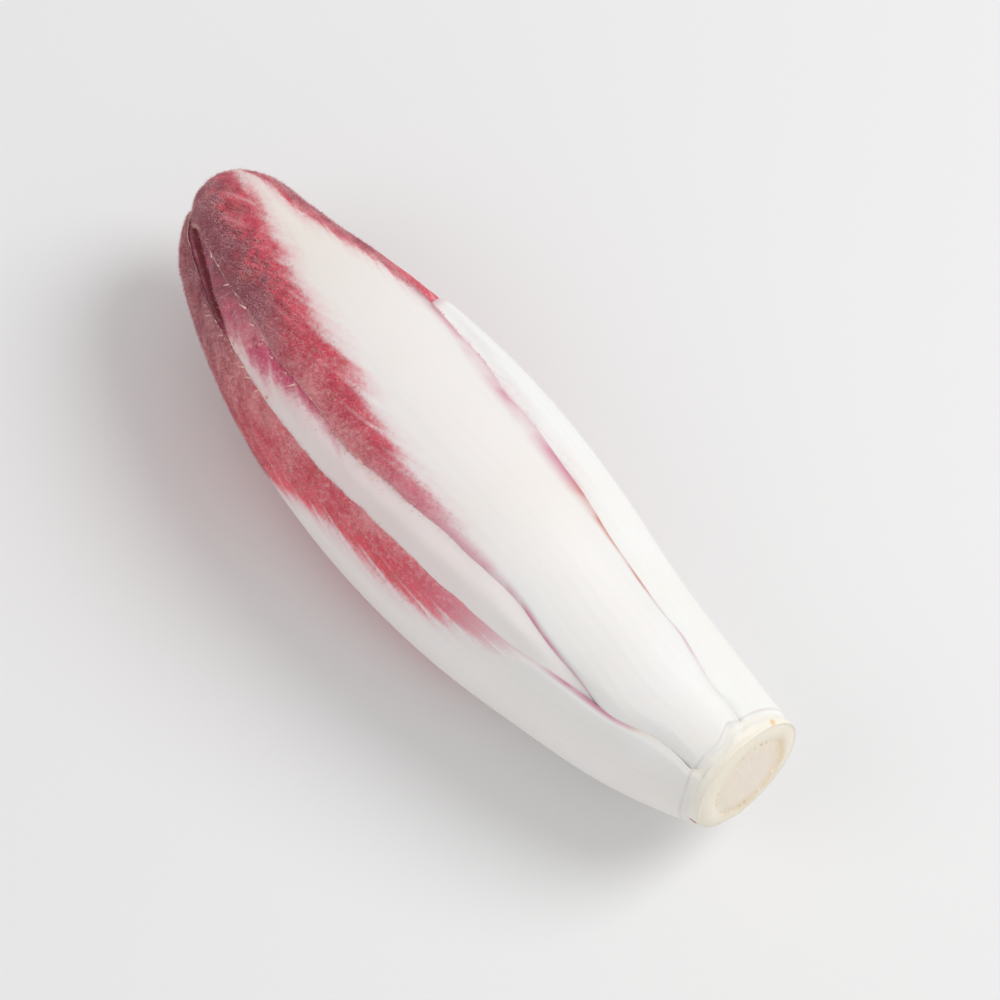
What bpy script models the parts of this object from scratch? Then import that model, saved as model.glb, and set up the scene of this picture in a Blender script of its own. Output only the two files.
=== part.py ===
"""One picked head of red Belgian endive, lying on its side.

Metres, +Z up. The head's long axis is +X, from the cut stem to the tip. It rests on a
small flat under its belly, and the origin is the bottom centre of its bounding box.

The head is grown from the outside in. Every leaf lies as far below the head's outline as
the leaves that cover it need, so the leaves nest without touching, and the stem with its
heart of fused small leaves fills what is left. Places on the head are given by two
numbers: the run, which is the distance along it from the cut, carried on over the
rounded tip, and the turn, the angle round it from straight up towards -Y.
"""
import math
from collections import namedtuple

import bmesh
import bpy
import numpy as np

# Driving dimensions of the head
LENGTH = 0.150
TIP_RADIUS = 0.012
DOME_START = LENGTH - TIP_RADIUS
BOW = 0.0055
REST_DROP = 0.0015
PROFILE = (
    (0.000, 0.0110),
    (0.016, 0.0151),
    (0.034, 0.0183),
    (0.054, 0.0217),
    (0.076, 0.0231),
    (0.092, 0.0224),
    (0.112, 0.0196),
    (DOME_START, 0.0125),
)
BELLY_RADIUS = 0.0231
TIP_SHOULDER = 0.0016
REST_HEIGHT = BELLY_RADIUS - REST_DROP

# Leaves: clearances, thickness and the roundness of their tips
GAP = 0.0004
HIDDEN_GAP = 0.0006
BLADE = 0.0007
TIP_ROUND = 0.016
ROUND_TIP = 3
BLUNT_TIP = 6
EDGE_WAVE = 0.0004
EDGE_WAVES = 9
OUTLINE_WAVE = 0.03
RIB_THICKNESS = (
    (0.0, 0.0026),
    (0.2, 0.0036),
    (0.5, 0.0026),
    (0.8, 0.0015),
    (1.0, 0.0009),
)

# Stem: how far the stump lies inside the leaves, its edge, its ring of vessels, and the
# lean of the cut, as a rise along X for each metre up and towards -Y
STUMP_INSET = 0.0004
CUT_EDGE = 0.0009
CUT_RING = 0.66
CUT_RING_RIM = 0.74
CUT_GROOVE = 0.0003
CUT_LEAN_UP = 0.11
CUT_LEAN_SIDE = 0.08
CUT_LEAN_MIDDLE = 0.0013
CUT_LEAN_END = 0.0037
HEART_RELIEF = 0.0007
HEART_TURNS = 3
CORE_SIDES = 36
STUMP_RINGS = (0, CUT_EDGE, 0.0022, 0.0034, 0.0041, 0.0048, 0.0058, 0.0075, 0.010, 0.0135, 0.018)
HEART_RINGS = 22
HEART_RINGS_FROM = 0.024
HEART_TIP_GAP = 0.0012
STUMP_END = 0.006
STUMP_REACH = 0.0005
HEART_START = 0.012
HEART_REACH = 0.006

# Rows of the leaf grids stand closer together towards the tip
TIP_CROWDING = 0.45

# Field of depths below the outline: rows along the run, columns round the turn
POLE_RUN = DOME_START + TIP_RADIUS * math.pi / 2
ROWS = 400
COLUMNS = 360
CELL = 0.001

WHITE = (0.86, 0.84, 0.78)
PINK = (0.74, 0.38, 0.44)
RED = (0.42, 0.05, 0.09)
STEM = (0.84, 0.78, 0.64)

Leaf = namedtuple("Leaf", "name turns base tip half_widths tip_power lift grid colour")
Grid = namedtuple("Grid", "along across reach gap")
LEAFY = (0.0075, 0.0150, 0.0175, 0.0150, 0.0085)

OUTER = Grid(26, 12, 3, GAP)
BELLY = Grid(30, 16, 3, GAP)
SECOND = Grid(20, 10, 4, GAP)
INNER = Grid(14, 8, 5, HIDDEN_GAP)


def inner_leaf(number, turn, base, tip):
    """One of the hidden leaves, all of one form, closer to the heart as the number grows."""
    widths = tuple(width * (1 - 0.035 * number) for width in LEAFY)
    name = "inner_leaf_%d" % number
    return Leaf(name, (turn, turn, turn), base, tip, widths, ROUND_TIP, 0.0, INNER, PINK)


# From the outermost leaf to the innermost: turns at base, middle and tip in degrees,
# where it leaves the stem, the run of its tip, half its width from base to tip, how blunt
# its tip is, and how far its free end stands off the head
LEAVES = (
    Leaf("outer_leaf_front", (-104, -104, -104), 0.0042, 0.1500,
         (0.0134, 0.0192, 0.0202, 0.0158, 0.0112), BLUNT_TIP, 0.0, OUTER, RED),
    Leaf("outer_leaf_top", (-14, -1, 10), 0.0050, 0.1600,
         (0.0052, 0.0105, 0.0146, 0.0158, 0.0125), ROUND_TIP, 0.0, OUTER, WHITE),
    Leaf("outer_leaf_under", (182, 178, 176), 0.0045, 0.1550,
         (0.0110, 0.0150, 0.0185, 0.0165, 0.0105), ROUND_TIP, 0.0, BELLY, WHITE),
    Leaf("outer_leaf_back", (74, 78, 80), 0.0048, 0.1000,
         (0.0138, 0.0180, 0.0205, 0.0195, 0.0175), BLUNT_TIP, 0.0008, OUTER, WHITE),
    Leaf("second_leaf_front", (-52, -53, -50), 0.0090, 0.1580,
         (0.0080, 0.0150, 0.0180, 0.0165, 0.0110), ROUND_TIP, 0.0, SECOND, PINK),
    Leaf("second_leaf_low", (-150, -150, -146), 0.0110, 0.1540,
         (0.0080, 0.0150, 0.0185, 0.0160, 0.0105), ROUND_TIP, 0.0, SECOND, PINK),
    Leaf("second_leaf_back", (46, 52, 58), 0.0120, 0.1600,
         (0.0080, 0.0150, 0.0185, 0.0170, 0.0115), ROUND_TIP, 0.0, SECOND, PINK),
    Leaf("second_leaf_far", (124, 122, 118), 0.0135, 0.1570,
         (0.0080, 0.0150, 0.0185, 0.0165, 0.0110), ROUND_TIP, 0.0, SECOND, PINK),
    inner_leaf(1, 0, 0.0160, 0.150),
    inner_leaf(2, 137, 0.0185, 0.149),
    inner_leaf(3, -85, 0.0210, 0.148),
    inner_leaf(4, 52, 0.0235, 0.146),
    inner_leaf(5, -170, 0.0260, 0.144),
    inner_leaf(6, -32, 0.0290, 0.142),
    inner_leaf(7, 105, 0.0320, 0.139),
)


def smooth_curve(points, at):
    """Smooth curve through (place, value) points, read at the given places."""
    places, values = np.array(points, dtype=float).T
    slopes = np.gradient(values, places)
    at = np.clip(at, places[0], places[-1])
    k = np.clip(np.searchsorted(places, at) - 1, 0, len(places) - 2)
    span = places[k + 1] - places[k]
    f = (at - places[k]) / span
    ends = values[k] * (1 + 2 * f) * (1 - f) ** 2 + values[k + 1] * (3 - 2 * f) * f ** 2
    return ends + span * f * (1 - f) * (slopes[k] * (1 - f) - slopes[k + 1] * f)


def tip_angle(run):
    """How far the run has climbed over the rounded tip, 0 at its foot."""
    return np.maximum(run - DOME_START, 0.0) / TIP_RADIUS


def round_radius(run):
    """Radius of the head's outline, before the flat that it rests on."""
    angle = tip_angle(run)
    foot = smooth_curve(PROFILE, run)
    dome = foot * np.cos(angle) ** 2 + TIP_RADIUS * np.sin(angle) ** 2
    shoulder = TIP_SHOULDER * np.abs(np.sin(2 * angle) * np.cos(angle))
    return dome - shoulder


def outline(run, turn):
    """Distance from the head's middle line to its outline, flat underneath."""
    radius = round_radius(run)
    down = -np.cos(turn) * np.cos(tip_angle(run))
    reach = REST_HEIGHT / np.maximum(down, 0.5)
    return np.where(down > 0.5, np.minimum(radius, reach), radius)


def point(run, turn, depth):
    """A point so far below the outline, with the head's gentle bow along its length."""
    angle = tip_angle(run)
    radius = outline(run, turn) - depth
    x = np.minimum(run, DOME_START) + radius * np.sin(angle)
    y = -radius * np.sin(turn) * np.cos(angle)
    z = radius * np.cos(turn) * np.cos(angle)
    bow = BOW * (1 - (2 * np.clip(x / LENGTH, 0, 1) - 1) ** 4)
    return np.stack([x, y + bow, z], axis=-1)


def middle_turn(leaf, run):
    """Turn of the leaf's midrib along its run, in radians."""
    half = (leaf.base + DOME_START) / 2
    places = ((leaf.base, leaf.turns[0]), (half, leaf.turns[1]), (DOME_START, leaf.turns[2]))
    return np.radians(smooth_curve(places, run))


def from_leaf(leaf, run, across):
    """Head places of points given along the leaf's midrib and across it, as an angle."""
    angle = tip_angle(run)
    climb = np.arcsin(np.clip(np.cos(across) * np.sin(angle), -1, 1))
    swing = np.arctan2(np.sin(across), np.cos(across) * np.cos(angle))
    dome = angle > 0
    head_run = np.where(dome, DOME_START + TIP_RADIUS * climb, run)
    return head_run, middle_turn(leaf, run) + np.where(dome, swing, across)


def to_leaf(leaf, run, turn):
    """The inverse of from_leaf: midrib run and angle across it of places on the head."""
    angle = tip_angle(run)
    swing = turn - middle_turn(leaf, run)
    swing = np.arctan2(np.sin(swing), np.cos(swing))
    across = np.arcsin(np.cos(angle) * np.sin(swing))
    climb = np.arctan2(np.sin(angle), np.cos(angle) * np.cos(swing))
    dome = angle > 0
    leaf_run = np.where(dome, DOME_START + TIP_RADIUS * climb, run)
    return leaf_run, np.where(dome, across, swing)


def half_angle(leaf, share):
    """Half the leaf's width as an angle, at a share of its length."""
    run = leaf.base + (leaf.tip - leaf.base) * share
    shares = np.linspace(0, 1, len(leaf.half_widths))
    width = smooth_curve(np.stack([shares, leaf.half_widths], axis=1), share)
    wave = 1 + OUTLINE_WAVE * np.sin(EDGE_WAVES * 2.3 * share + leaf.turns[1])
    return width * wave / round_radius(np.minimum(run, DOME_START))


def blade_end(leaf, side):
    """Run at which the blade ends, early towards its sides, so that the tip is round."""
    return leaf.tip - TIP_ROUND * np.abs(side) ** leaf.tip_power


def leaf_place(leaf, share, side):
    """Leaf run and angle across, at a share of the length and -1 to 1 across the blade."""
    run = leaf.base + (blade_end(leaf, side) - leaf.base) * share
    return run, side * half_angle(leaf, share)


def leaf_share(leaf, run, across):
    """Share of the length and place across the blade, from leaf run and angle across."""
    share = (run - leaf.base) / (leaf.tip - leaf.base)
    side = np.zeros_like(share)
    for _ in range(5):
        side = across / half_angle(leaf, np.clip(share, 0, 1))
        share = (run - leaf.base) / (blade_end(leaf, np.clip(side, -1, 1)) - leaf.base)
    return share, side


def thickness(share, side):
    """Blade with a thick white midrib that thins out towards the tip."""
    rib = smooth_curve(RIB_THICKNESS, share)
    swell = np.clip(1 - side ** 2, 0, 1) ** 1.5
    return BLADE + (rib - BLADE) * swell


def edge_dip(share, side):
    """Shallow ripples of the margin, pressed inwards."""
    ripple = 0.5 - 0.5 * np.cos(EDGE_WAVES * 2 * math.pi * share)
    return EDGE_WAVE * ripple * np.clip(np.abs(side), 0, 1) ** 6


class DepthField:
    """How far below the outline the next leaf must lie, all round the head."""

    def __init__(self):
        self.runs = np.linspace(0, POLE_RUN, ROWS)
        self.turns = np.radians(np.arange(COLUMNS) * 360 / COLUMNS)
        self.run, self.turn = np.meshgrid(self.runs, self.turns, indexing="ij")
        self.depth = np.zeros((ROWS, COLUMNS))

    def read(self, run, turn):
        row = np.clip(run / POLE_RUN * (ROWS - 1), 0, ROWS - 1.001)
        column = np.mod(turn / (2 * math.pi) * COLUMNS, COLUMNS)
        r = row.astype(int)
        c = column.astype(int) % COLUMNS
        f = row - r
        g = column - np.floor(column)
        d = self.depth
        low = d[r, c] * (1 - g) + d[r, (c + 1) % COLUMNS] * g
        high = d[r + 1, c] * (1 - g) + d[r + 1, (c + 1) % COLUMNS] * g
        return low * (1 - f) + high * f


def widest(values, reach, axis):
    """Greatest value within a reach of cells, along one axis."""
    shifted = [np.roll(values, step, axis) for step in range(-reach, reach + 1)]
    return np.max(shifted, axis=0)


def average(values, reach, axis):
    """Mean value within a reach of cells, along one axis."""
    shifted = [np.roll(values, step, axis) for step in range(-reach, reach + 1)]
    return np.mean(shifted, axis=0)


class LeafBed:
    """The smoothed depth at which one leaf's outer face lies, on a grid of its own."""

    def __init__(self, leaf, field):
        reach = leaf.grid.reach
        margin = 3 * reach * CELL
        self.leaf = leaf
        self.runs = np.arange(leaf.base - margin, leaf.tip + margin, CELL)
        spread = max(leaf.half_widths) * (1 + OUTLINE_WAVE) + margin
        self.arcs = np.arange(-spread, spread, CELL)
        run, arc = np.meshgrid(self.runs, self.arcs, indexing="ij")
        across = arc / round_radius(np.clip(run, 0, DOME_START))
        head_run, turn = from_leaf(leaf, np.maximum(run, 0), across)
        depth = field.read(head_run, turn)
        for axis in (0, 1):
            depth = widest(depth, reach, axis)
        for axis in (0, 1):
            depth = average(depth, reach, axis)
        self.depth = depth

    def read(self, run, across):
        arc = across * round_radius(np.clip(run, 0, DOME_START))
        row = np.clip((run - self.runs[0]) / CELL, 0, len(self.runs) - 1.001)
        column = np.clip((arc - self.arcs[0]) / CELL, 0, len(self.arcs) - 1.001)
        r = row.astype(int)
        c = column.astype(int)
        f = row - r
        g = column - c
        d = self.depth
        low = d[r, c] * (1 - g) + d[r, c + 1] * g
        high = d[r + 1, c] * (1 - g) + d[r + 1, c + 1] * g
        return low * (1 - f) + high * f

    def faces(self, share, side):
        """Depths of the outer and the inner face."""
        run, across = leaf_place(self.leaf, share, side)
        bed = self.read(run, across)
        free = np.clip(1 - bed / BLADE, 0, 1)
        lift = self.leaf.lift * free * np.clip(share * 2 - 0.7, 0, 1)
        outer = bed + edge_dip(share, side) - lift
        return outer, outer + thickness(share, side)


def cover(field, bed):
    """Push the field down below a leaf, wherever the leaf covers the head."""
    leaf = bed.leaf
    run, across = to_leaf(leaf, field.run, field.turn)
    share, side = leaf_share(leaf, run, across)
    inside = (share > -0.004) & (share < 1.004) & (np.abs(side) < 1.02)
    _, inner = bed.faces(np.clip(share, 0, 1), np.clip(side, -1, 1))
    field.depth = np.where(inside, np.maximum(field.depth, inner + leaf.grid.gap), field.depth)


def plain_material(name, colour, roughness):
    material = bpy.data.materials.new(name)
    material.use_nodes = True
    shader = material.node_tree.nodes["Principled BSDF"]
    shader.inputs["Base Color"].default_value = (*colour, 1.0)
    shader.inputs["Roughness"].default_value = roughness
    shader.inputs["Metallic"].default_value = 0.0
    material.diffuse_color = (*colour, 1.0)
    return material


def add_object(name, mesh_data, material, collection):
    mesh = bpy.data.meshes.new(name)
    bmesh.ops.recalc_face_normals(mesh_data, faces=mesh_data.faces)
    if mesh_data.calc_volume(signed=True) < 0:
        bmesh.ops.reverse_faces(mesh_data, faces=mesh_data.faces)
    mesh_data.to_mesh(mesh)
    mesh_data.free()
    mesh.materials.append(material)
    mesh.shade_smooth()
    mesh.set_sharp_from_angle(angle=math.radians(50))
    made = bpy.data.objects.new(name, mesh)
    collection.objects.link(made)
    return made


def make_leaf(leaf, bed, collection):
    """A closed blade: one grid, thickened, with both faces split into the same triangles."""
    bm = bmesh.new()
    grid = leaf.grid
    bmesh.ops.create_grid(bm, x_segments=grid.along, y_segments=grid.across, size=0.5)
    bmesh.ops.triangulate(bm, faces=bm.faces)
    outer_face = bm.faces[:]
    outer_verts = bm.verts[:]
    grown = bmesh.ops.extrude_face_region(bm, geom=outer_face)["geom"]
    inner_verts = [item for item in grown if isinstance(item, bmesh.types.BMVert)]
    for verts, face in ((outer_verts, 0), (inner_verts, 1)):
        flat = np.array([vert.co[:2] for vert in verts])
        step = flat[:, 0] + 0.5
        share = step * (1 + TIP_CROWDING * (1 - step))
        side = np.clip(flat[:, 1] * 2, -1, 1)
        depth = bed.faces(share, side)[face]
        run, across = leaf_place(leaf, share, side)
        head_run, turn = from_leaf(leaf, run, across)
        for vert, place in zip(verts, point(head_run, turn, depth)):
            vert.co = place
    material = plain_material(leaf.name, leaf.colour, 0.45)
    return add_object(leaf.name, bm, material, collection)


def stem_depth(field, run, turn):
    """Depth of the stem's side: below all leaves, with the heart's leaf edges as steps."""
    reach = np.interp(run, (STUMP_END, HEART_START), (STUMP_REACH, HEART_REACH))
    swing = 2 * math.pi / CORE_SIDES
    deepest = np.zeros_like(run)
    for along in np.linspace(-1, 1, 7):
        for around in np.linspace(-1, 1, 7):
            near = np.clip(run + along * reach, 0, POLE_RUN)
            deepest = np.maximum(deepest, field.read(near, turn + around * swing))
    step = np.mod(HEART_TURNS * turn / (2 * math.pi) + run / LENGTH, 1.0)
    heart = np.clip(2 * run / LENGTH - 0.6, 0, 1) * HEART_RELIEF * step
    return deepest + STUMP_INSET + heart


def lean_cut(rings, run):
    """Slant the cut: the rings near it move towards the tip, most at the top of the -Y side."""
    rise = CUT_LEAN_MIDDLE + CUT_LEAN_UP * rings[:, :, 2] - CUT_LEAN_SIDE * rings[:, :, 1]
    share = np.clip(1 - run / CUT_LEAN_END, 0, 1)
    rings[:, :, 0] = np.maximum(rings[:, :, 0], 0.0) + np.maximum(rise, 0.0) * share


def make_stem(field, collection):
    """Stem and heart as one body of rings, from the cut to the heart's tip."""
    heart = np.linspace(HEART_RINGS_FROM, POLE_RUN - HEART_TIP_GAP, HEART_RINGS)
    runs = np.concatenate([STUMP_RINGS, heart])
    turns = np.radians(np.arange(CORE_SIDES) * 360 / CORE_SIDES)
    run, turn = np.meshgrid(runs, turns, indexing="ij")
    depth = stem_depth(field, run, turn)
    depth[0] += CUT_EDGE
    rings = point(run, turn, depth)
    lean_cut(rings, run)
    middle = rings[0].mean(axis=0)
    pith = middle + (rings[0] - middle) * CUT_RING
    pith[:, 0] += CUT_GROOVE
    rim = middle + (rings[0] - middle) * CUT_RING_RIM
    rings = [pith, rim, *rings]
    bm = bmesh.new()
    loops = [[bm.verts.new(place) for place in ring] for ring in rings]
    for low, high in zip(loops, loops[1:]):
        for k in range(CORE_SIDES):
            after = (k + 1) % CORE_SIDES
            bm.faces.new((low[k], low[after], high[after], high[k]))
    for loop in (loops[0], loops[-1]):
        centre = bm.verts.new(np.mean([vert.co for vert in loop], axis=0))
        for k in range(CORE_SIDES):
            bm.faces.new((loop[k], loop[(k + 1) % CORE_SIDES], centre))
    bmesh.ops.triangulate(bm, faces=bm.faces)
    return add_object("stem_and_heart", bm, plain_material("stem", STEM, 0.6), collection)


def set_on_origin(objects):
    """Move the finished pieces, so that the box's bottom centre is the origin."""
    corners = np.array([vert.co for made in objects for vert in made.data.vertices])
    low = corners.min(axis=0)
    high = corners.max(axis=0)
    shift = -np.array([(low[0] + high[0]) / 2, (low[1] + high[1]) / 2, -REST_HEIGHT])
    for made in objects:
        for vert in made.data.vertices:
            place = np.array(vert.co) + shift
            vert.co = (place[0], place[1], max(place[2], 0.0))


def build():
    for old in list(bpy.data.objects):
        bpy.data.objects.remove(old)
    collection = bpy.data.collections.new("red_belgian_endive")
    bpy.context.scene.collection.children.link(collection)
    field = DepthField()
    pieces = []
    for leaf in LEAVES:
        bed = LeafBed(leaf, field)
        pieces.append(make_leaf(leaf, bed, collection))
        cover(field, bed)
    pieces.append(make_stem(field, collection))
    set_on_origin(pieces)


build()
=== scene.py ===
# %% [markdown]
# # Red Belgian endive
# A head of red witloof is a bud: twenty or so crisp leaves wrapped round a short stem. The
# frame holds one plain solid for each leaf, in its real place. This script grows the same
# leaves again, much finer, and gives them their white midribs, red blades, veins and
# toothed margins. Everything is in metres, and the head lies along X with its tip at +X.

# %% Load the frame
import math
from collections import namedtuple
from functools import reduce

import bmesh
import bpy
import numpy as np
from mathutils import Matrix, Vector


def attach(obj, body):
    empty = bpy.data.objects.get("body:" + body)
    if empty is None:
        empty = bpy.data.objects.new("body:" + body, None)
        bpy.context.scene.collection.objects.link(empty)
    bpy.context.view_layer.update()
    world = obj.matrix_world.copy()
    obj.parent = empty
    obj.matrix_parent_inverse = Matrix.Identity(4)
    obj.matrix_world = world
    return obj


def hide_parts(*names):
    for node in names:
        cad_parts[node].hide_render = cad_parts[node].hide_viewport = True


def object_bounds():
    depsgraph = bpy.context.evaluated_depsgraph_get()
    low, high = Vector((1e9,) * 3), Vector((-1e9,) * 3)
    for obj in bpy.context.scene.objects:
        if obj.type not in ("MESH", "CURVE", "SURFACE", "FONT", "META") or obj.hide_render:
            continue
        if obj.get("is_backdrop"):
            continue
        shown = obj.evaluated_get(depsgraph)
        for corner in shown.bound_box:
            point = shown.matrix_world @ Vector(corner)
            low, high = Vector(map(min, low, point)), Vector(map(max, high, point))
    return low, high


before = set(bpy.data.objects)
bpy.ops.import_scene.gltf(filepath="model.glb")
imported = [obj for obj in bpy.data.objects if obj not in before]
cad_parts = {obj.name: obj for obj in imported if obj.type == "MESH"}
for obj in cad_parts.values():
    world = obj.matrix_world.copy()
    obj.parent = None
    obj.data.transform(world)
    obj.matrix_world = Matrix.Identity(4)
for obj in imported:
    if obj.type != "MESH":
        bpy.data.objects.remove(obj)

CAD_LOW, CAD_HIGH = (np.array(corner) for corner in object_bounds())
print("CAD box in mm:", np.round((CAD_HIGH - CAD_LOW) * 1000, 1))


def add_object(name, data):
    """A new object made of some data, linked to the scene."""
    made = bpy.data.objects.new(name, data)
    bpy.context.scene.collection.objects.link(made)
    return made


# %% [markdown]
# ## The form of the head
# A sculptor could model this head by hand, but the leaves of a bud follow a rule: each one
# hugs those inside it and is hugged by those outside. So the head is described by its
# outline, a turned profile with a rounded tip and a gentle bow, and every leaf by how deep
# it lies below that outline. A place on the head is a run, the distance along it from the
# cut and on over the tip, and a turn, the angle round it from straight up towards -Y.

# %% The head's outline
LENGTH = 0.150
TIP_RADIUS = 0.012
DOME_START = LENGTH - TIP_RADIUS
POLE_RUN = DOME_START + TIP_RADIUS * math.pi / 2
BOW = 0.0055
BELLY_RADIUS = 0.0231
PRESSED_FLAT = 0.0015
REST_HEIGHT = BELLY_RADIUS - PRESSED_FLAT
TIP_SHOULDER = 0.0016
SKIN_INSET = 0.00001
PROFILE = (
    (0.000, 0.0110),
    (0.016, 0.0151),
    (0.034, 0.0183),
    (0.054, 0.0217),
    (0.076, 0.0231),
    (0.092, 0.0224),
    (0.112, 0.0196),
    (DOME_START, 0.0125),
)


def smooth_curve(points, at):
    """Smooth curve through (place, value) points, read at the given places."""
    places, values = np.array(points, dtype=float).T
    slopes = np.gradient(values, places)
    at = np.clip(at, places[0], places[-1])
    k = np.clip(np.searchsorted(places, at) - 1, 0, len(places) - 2)
    span = places[k + 1] - places[k]
    f = (at - places[k]) / span
    ends = values[k] * (1 + 2 * f) * (1 - f) ** 2 + values[k + 1] * (3 - 2 * f) * f ** 2
    return ends + span * f * (1 - f) * (slopes[k] * (1 - f) - slopes[k + 1] * f)


def smooth_step(low, high, value):
    """0 below low, 1 above high, with soft ends."""
    f = np.clip((value - low) / (high - low), 0, 1)
    return f * f * (3 - 2 * f)


def tip_angle(run):
    return np.maximum(run - DOME_START, 0.0) / TIP_RADIUS


def round_radius(run):
    """Radius of the head's outline, before the flat that it rests on."""
    angle = tip_angle(run)
    foot = smooth_curve(PROFILE, run)
    dome = foot * np.cos(angle) ** 2 + TIP_RADIUS * np.sin(angle) ** 2
    return dome - TIP_SHOULDER * np.abs(np.sin(2 * angle) * np.cos(angle))


def outline(run, turn):
    """Distance from the head's middle line to its outline, flat underneath."""
    radius = round_radius(run)
    down = -np.cos(turn) * np.cos(tip_angle(run))
    reach = REST_HEIGHT / np.maximum(down, 0.5)
    return np.where(down > 0.5, np.minimum(radius, reach), radius)


def bow(x):
    return BOW * (1 - (2 * np.clip(x / LENGTH, 0, 1) - 1) ** 4)


# The frame's box says where the head's own axes lie: the tip is its highest X, and the
# flank that the head bows to is its highest Y.
BARREL = np.linspace(0, DOME_START, 600)
FLANK = np.max(round_radius(BARREL) + bow(BARREL))
SHIFT = np.array([CAD_HIGH[0] - LENGTH, CAD_HIGH[1] - FLANK, REST_HEIGHT])
print("middle line starts at (mm):", np.round(SHIFT * 1000, 2))


def point(run, turn, depth):
    """A point so far below the outline, placed in the frame."""
    angle = tip_angle(run)
    radius = outline(run, turn) - depth - SKIN_INSET
    x = np.minimum(run, DOME_START) + radius * np.sin(angle)
    y = -radius * np.sin(turn) * np.cos(angle)
    z = radius * np.cos(turn) * np.cos(angle)
    return np.stack([x, y + bow(x), z], axis=-1) + SHIFT


# %% [markdown]
# ## Noise that can be repeated
# Leaves are never regular, but the same head must come out on every run. A small table of
# random numbers with a fixed seed, read with soft steps between its cells, gives a noise
# for bending margins and puckering blades. Blender's own noise textures do the rest later,
# in the materials, where no mesh is fine enough.

# %% Repeatable noise
CELLS = 64
NOISE_TABLE = np.random.RandomState(41).rand(CELLS, CELLS)


def soft_noise(u, v, offset=0.0):
    """Smooth noise from -1 to 1, with cells of one unit."""
    u = u + offset * 7.31
    v = v + offset * 3.77
    i = np.floor(u).astype(int)
    j = np.floor(v).astype(int)
    f = smooth_step(0, 1, u - i)
    g = smooth_step(0, 1, v - j)

    def row(k):
        cells = NOISE_TABLE[k % CELLS, j % CELLS], NOISE_TABLE[k % CELLS, (j + 1) % CELLS]
        return cells[0] * (1 - g) + cells[1] * g

    return (row(i) * (1 - f) + row(i + 1) * f) * 2 - 1


# %% [markdown]
# ## The leaves
# Each leaf is a tongue with a thick white midrib and a thin red blade on both sides. It is
# described by the turn of its midrib, its foot on the stem, where it ends, half its width
# along its length, and how much is trimmed off its left side. Its white zone is given by
# where it ends on either side of the midrib: at the tip the red closes over it, and near
# the stem it takes the whole leaf. A look says how bloom, dye and lines vary between leaves.

# %% Leaf table, from the outermost leaf inwards
Leaf = namedtuple(
    "Leaf", "name slot turns foot tip widths trim power white lift fine look"
)
# The look's seventh value is painted reflection: how strongly the white is tinted pink, as if
# by red light from the leaves around it.
Look = namedtuple(
    "Look", "bloom dust fade pale right line blush dye seam mauve",
    defaults=("crimson", "pink", (0.106, 0.128)),
)
FINE, MIDDLE, COARSE = 0.00055, 0.00085, 0.0014
ROUND_TIP, BLUNT_TIP = 3, 6
HIDDEN_WIDTHS = ((0, 0.0078), (0.25, 0.0150), (0.5, 0.0180), (0.75, 0.0163), (1, 0.0105))
CLOSING_WHITE = (
    (0.020, 0.022), (0.060, 0.0125), (0.090, 0.0075), (0.120, 0.0035), (0.145, -0.001)
)
EARLY_CLOSING = (
    (0.020, 0.022), (0.060, 0.0100), (0.080, 0.0040), (0.095, -0.001), (0.120, -0.004)
)
NONE = ((0.0, 0.0), (LENGTH, 0.0))
RED_LOOK = Look(0.9, 0.12, (0.035, 0.085), 0.0, 1.0, (0.6, 0.6), 0.4)
PALE_LOOK = Look(0.5, 0.12, (0.050, 0.120), 0.4, 1.0, (0.5, 0.5), 0.3)
NARROWING = 0.035


def straight(turn):
    return ((0.0, turn), (LENGTH, turn))


def along(foot, tip, widths, scale=1.0):
    """Half widths given by shares of a leaf's length, as (run, half width)."""
    return tuple((foot + (tip - foot) * share, width * scale) for share, width in widths)


def second_leaf(name, turns, foot, tip, white, look=RED_LOOK):
    return Leaf(name, "red_leaf", turns, ((-1, foot), (1, foot)), tip,
                along(foot, tip, HIDDEN_WIDTHS), NONE, ROUND_TIP, white, NONE, MIDDLE, look)


def inner_leaf(number, turn, foot, tip):
    """One of the hidden leaves, all of one form, narrower towards the heart."""
    widths = along(foot, tip, HIDDEN_WIDTHS, 1 - NARROWING * number)
    return Leaf("inner_leaf_%d" % number, "inner_leaf", straight(turn),
                ((-1, foot), (1, foot)), tip, widths, NONE, ROUND_TIP,
                (CLOSING_WHITE, CLOSING_WHITE), NONE, COARSE, PALE_LOOK)


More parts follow.
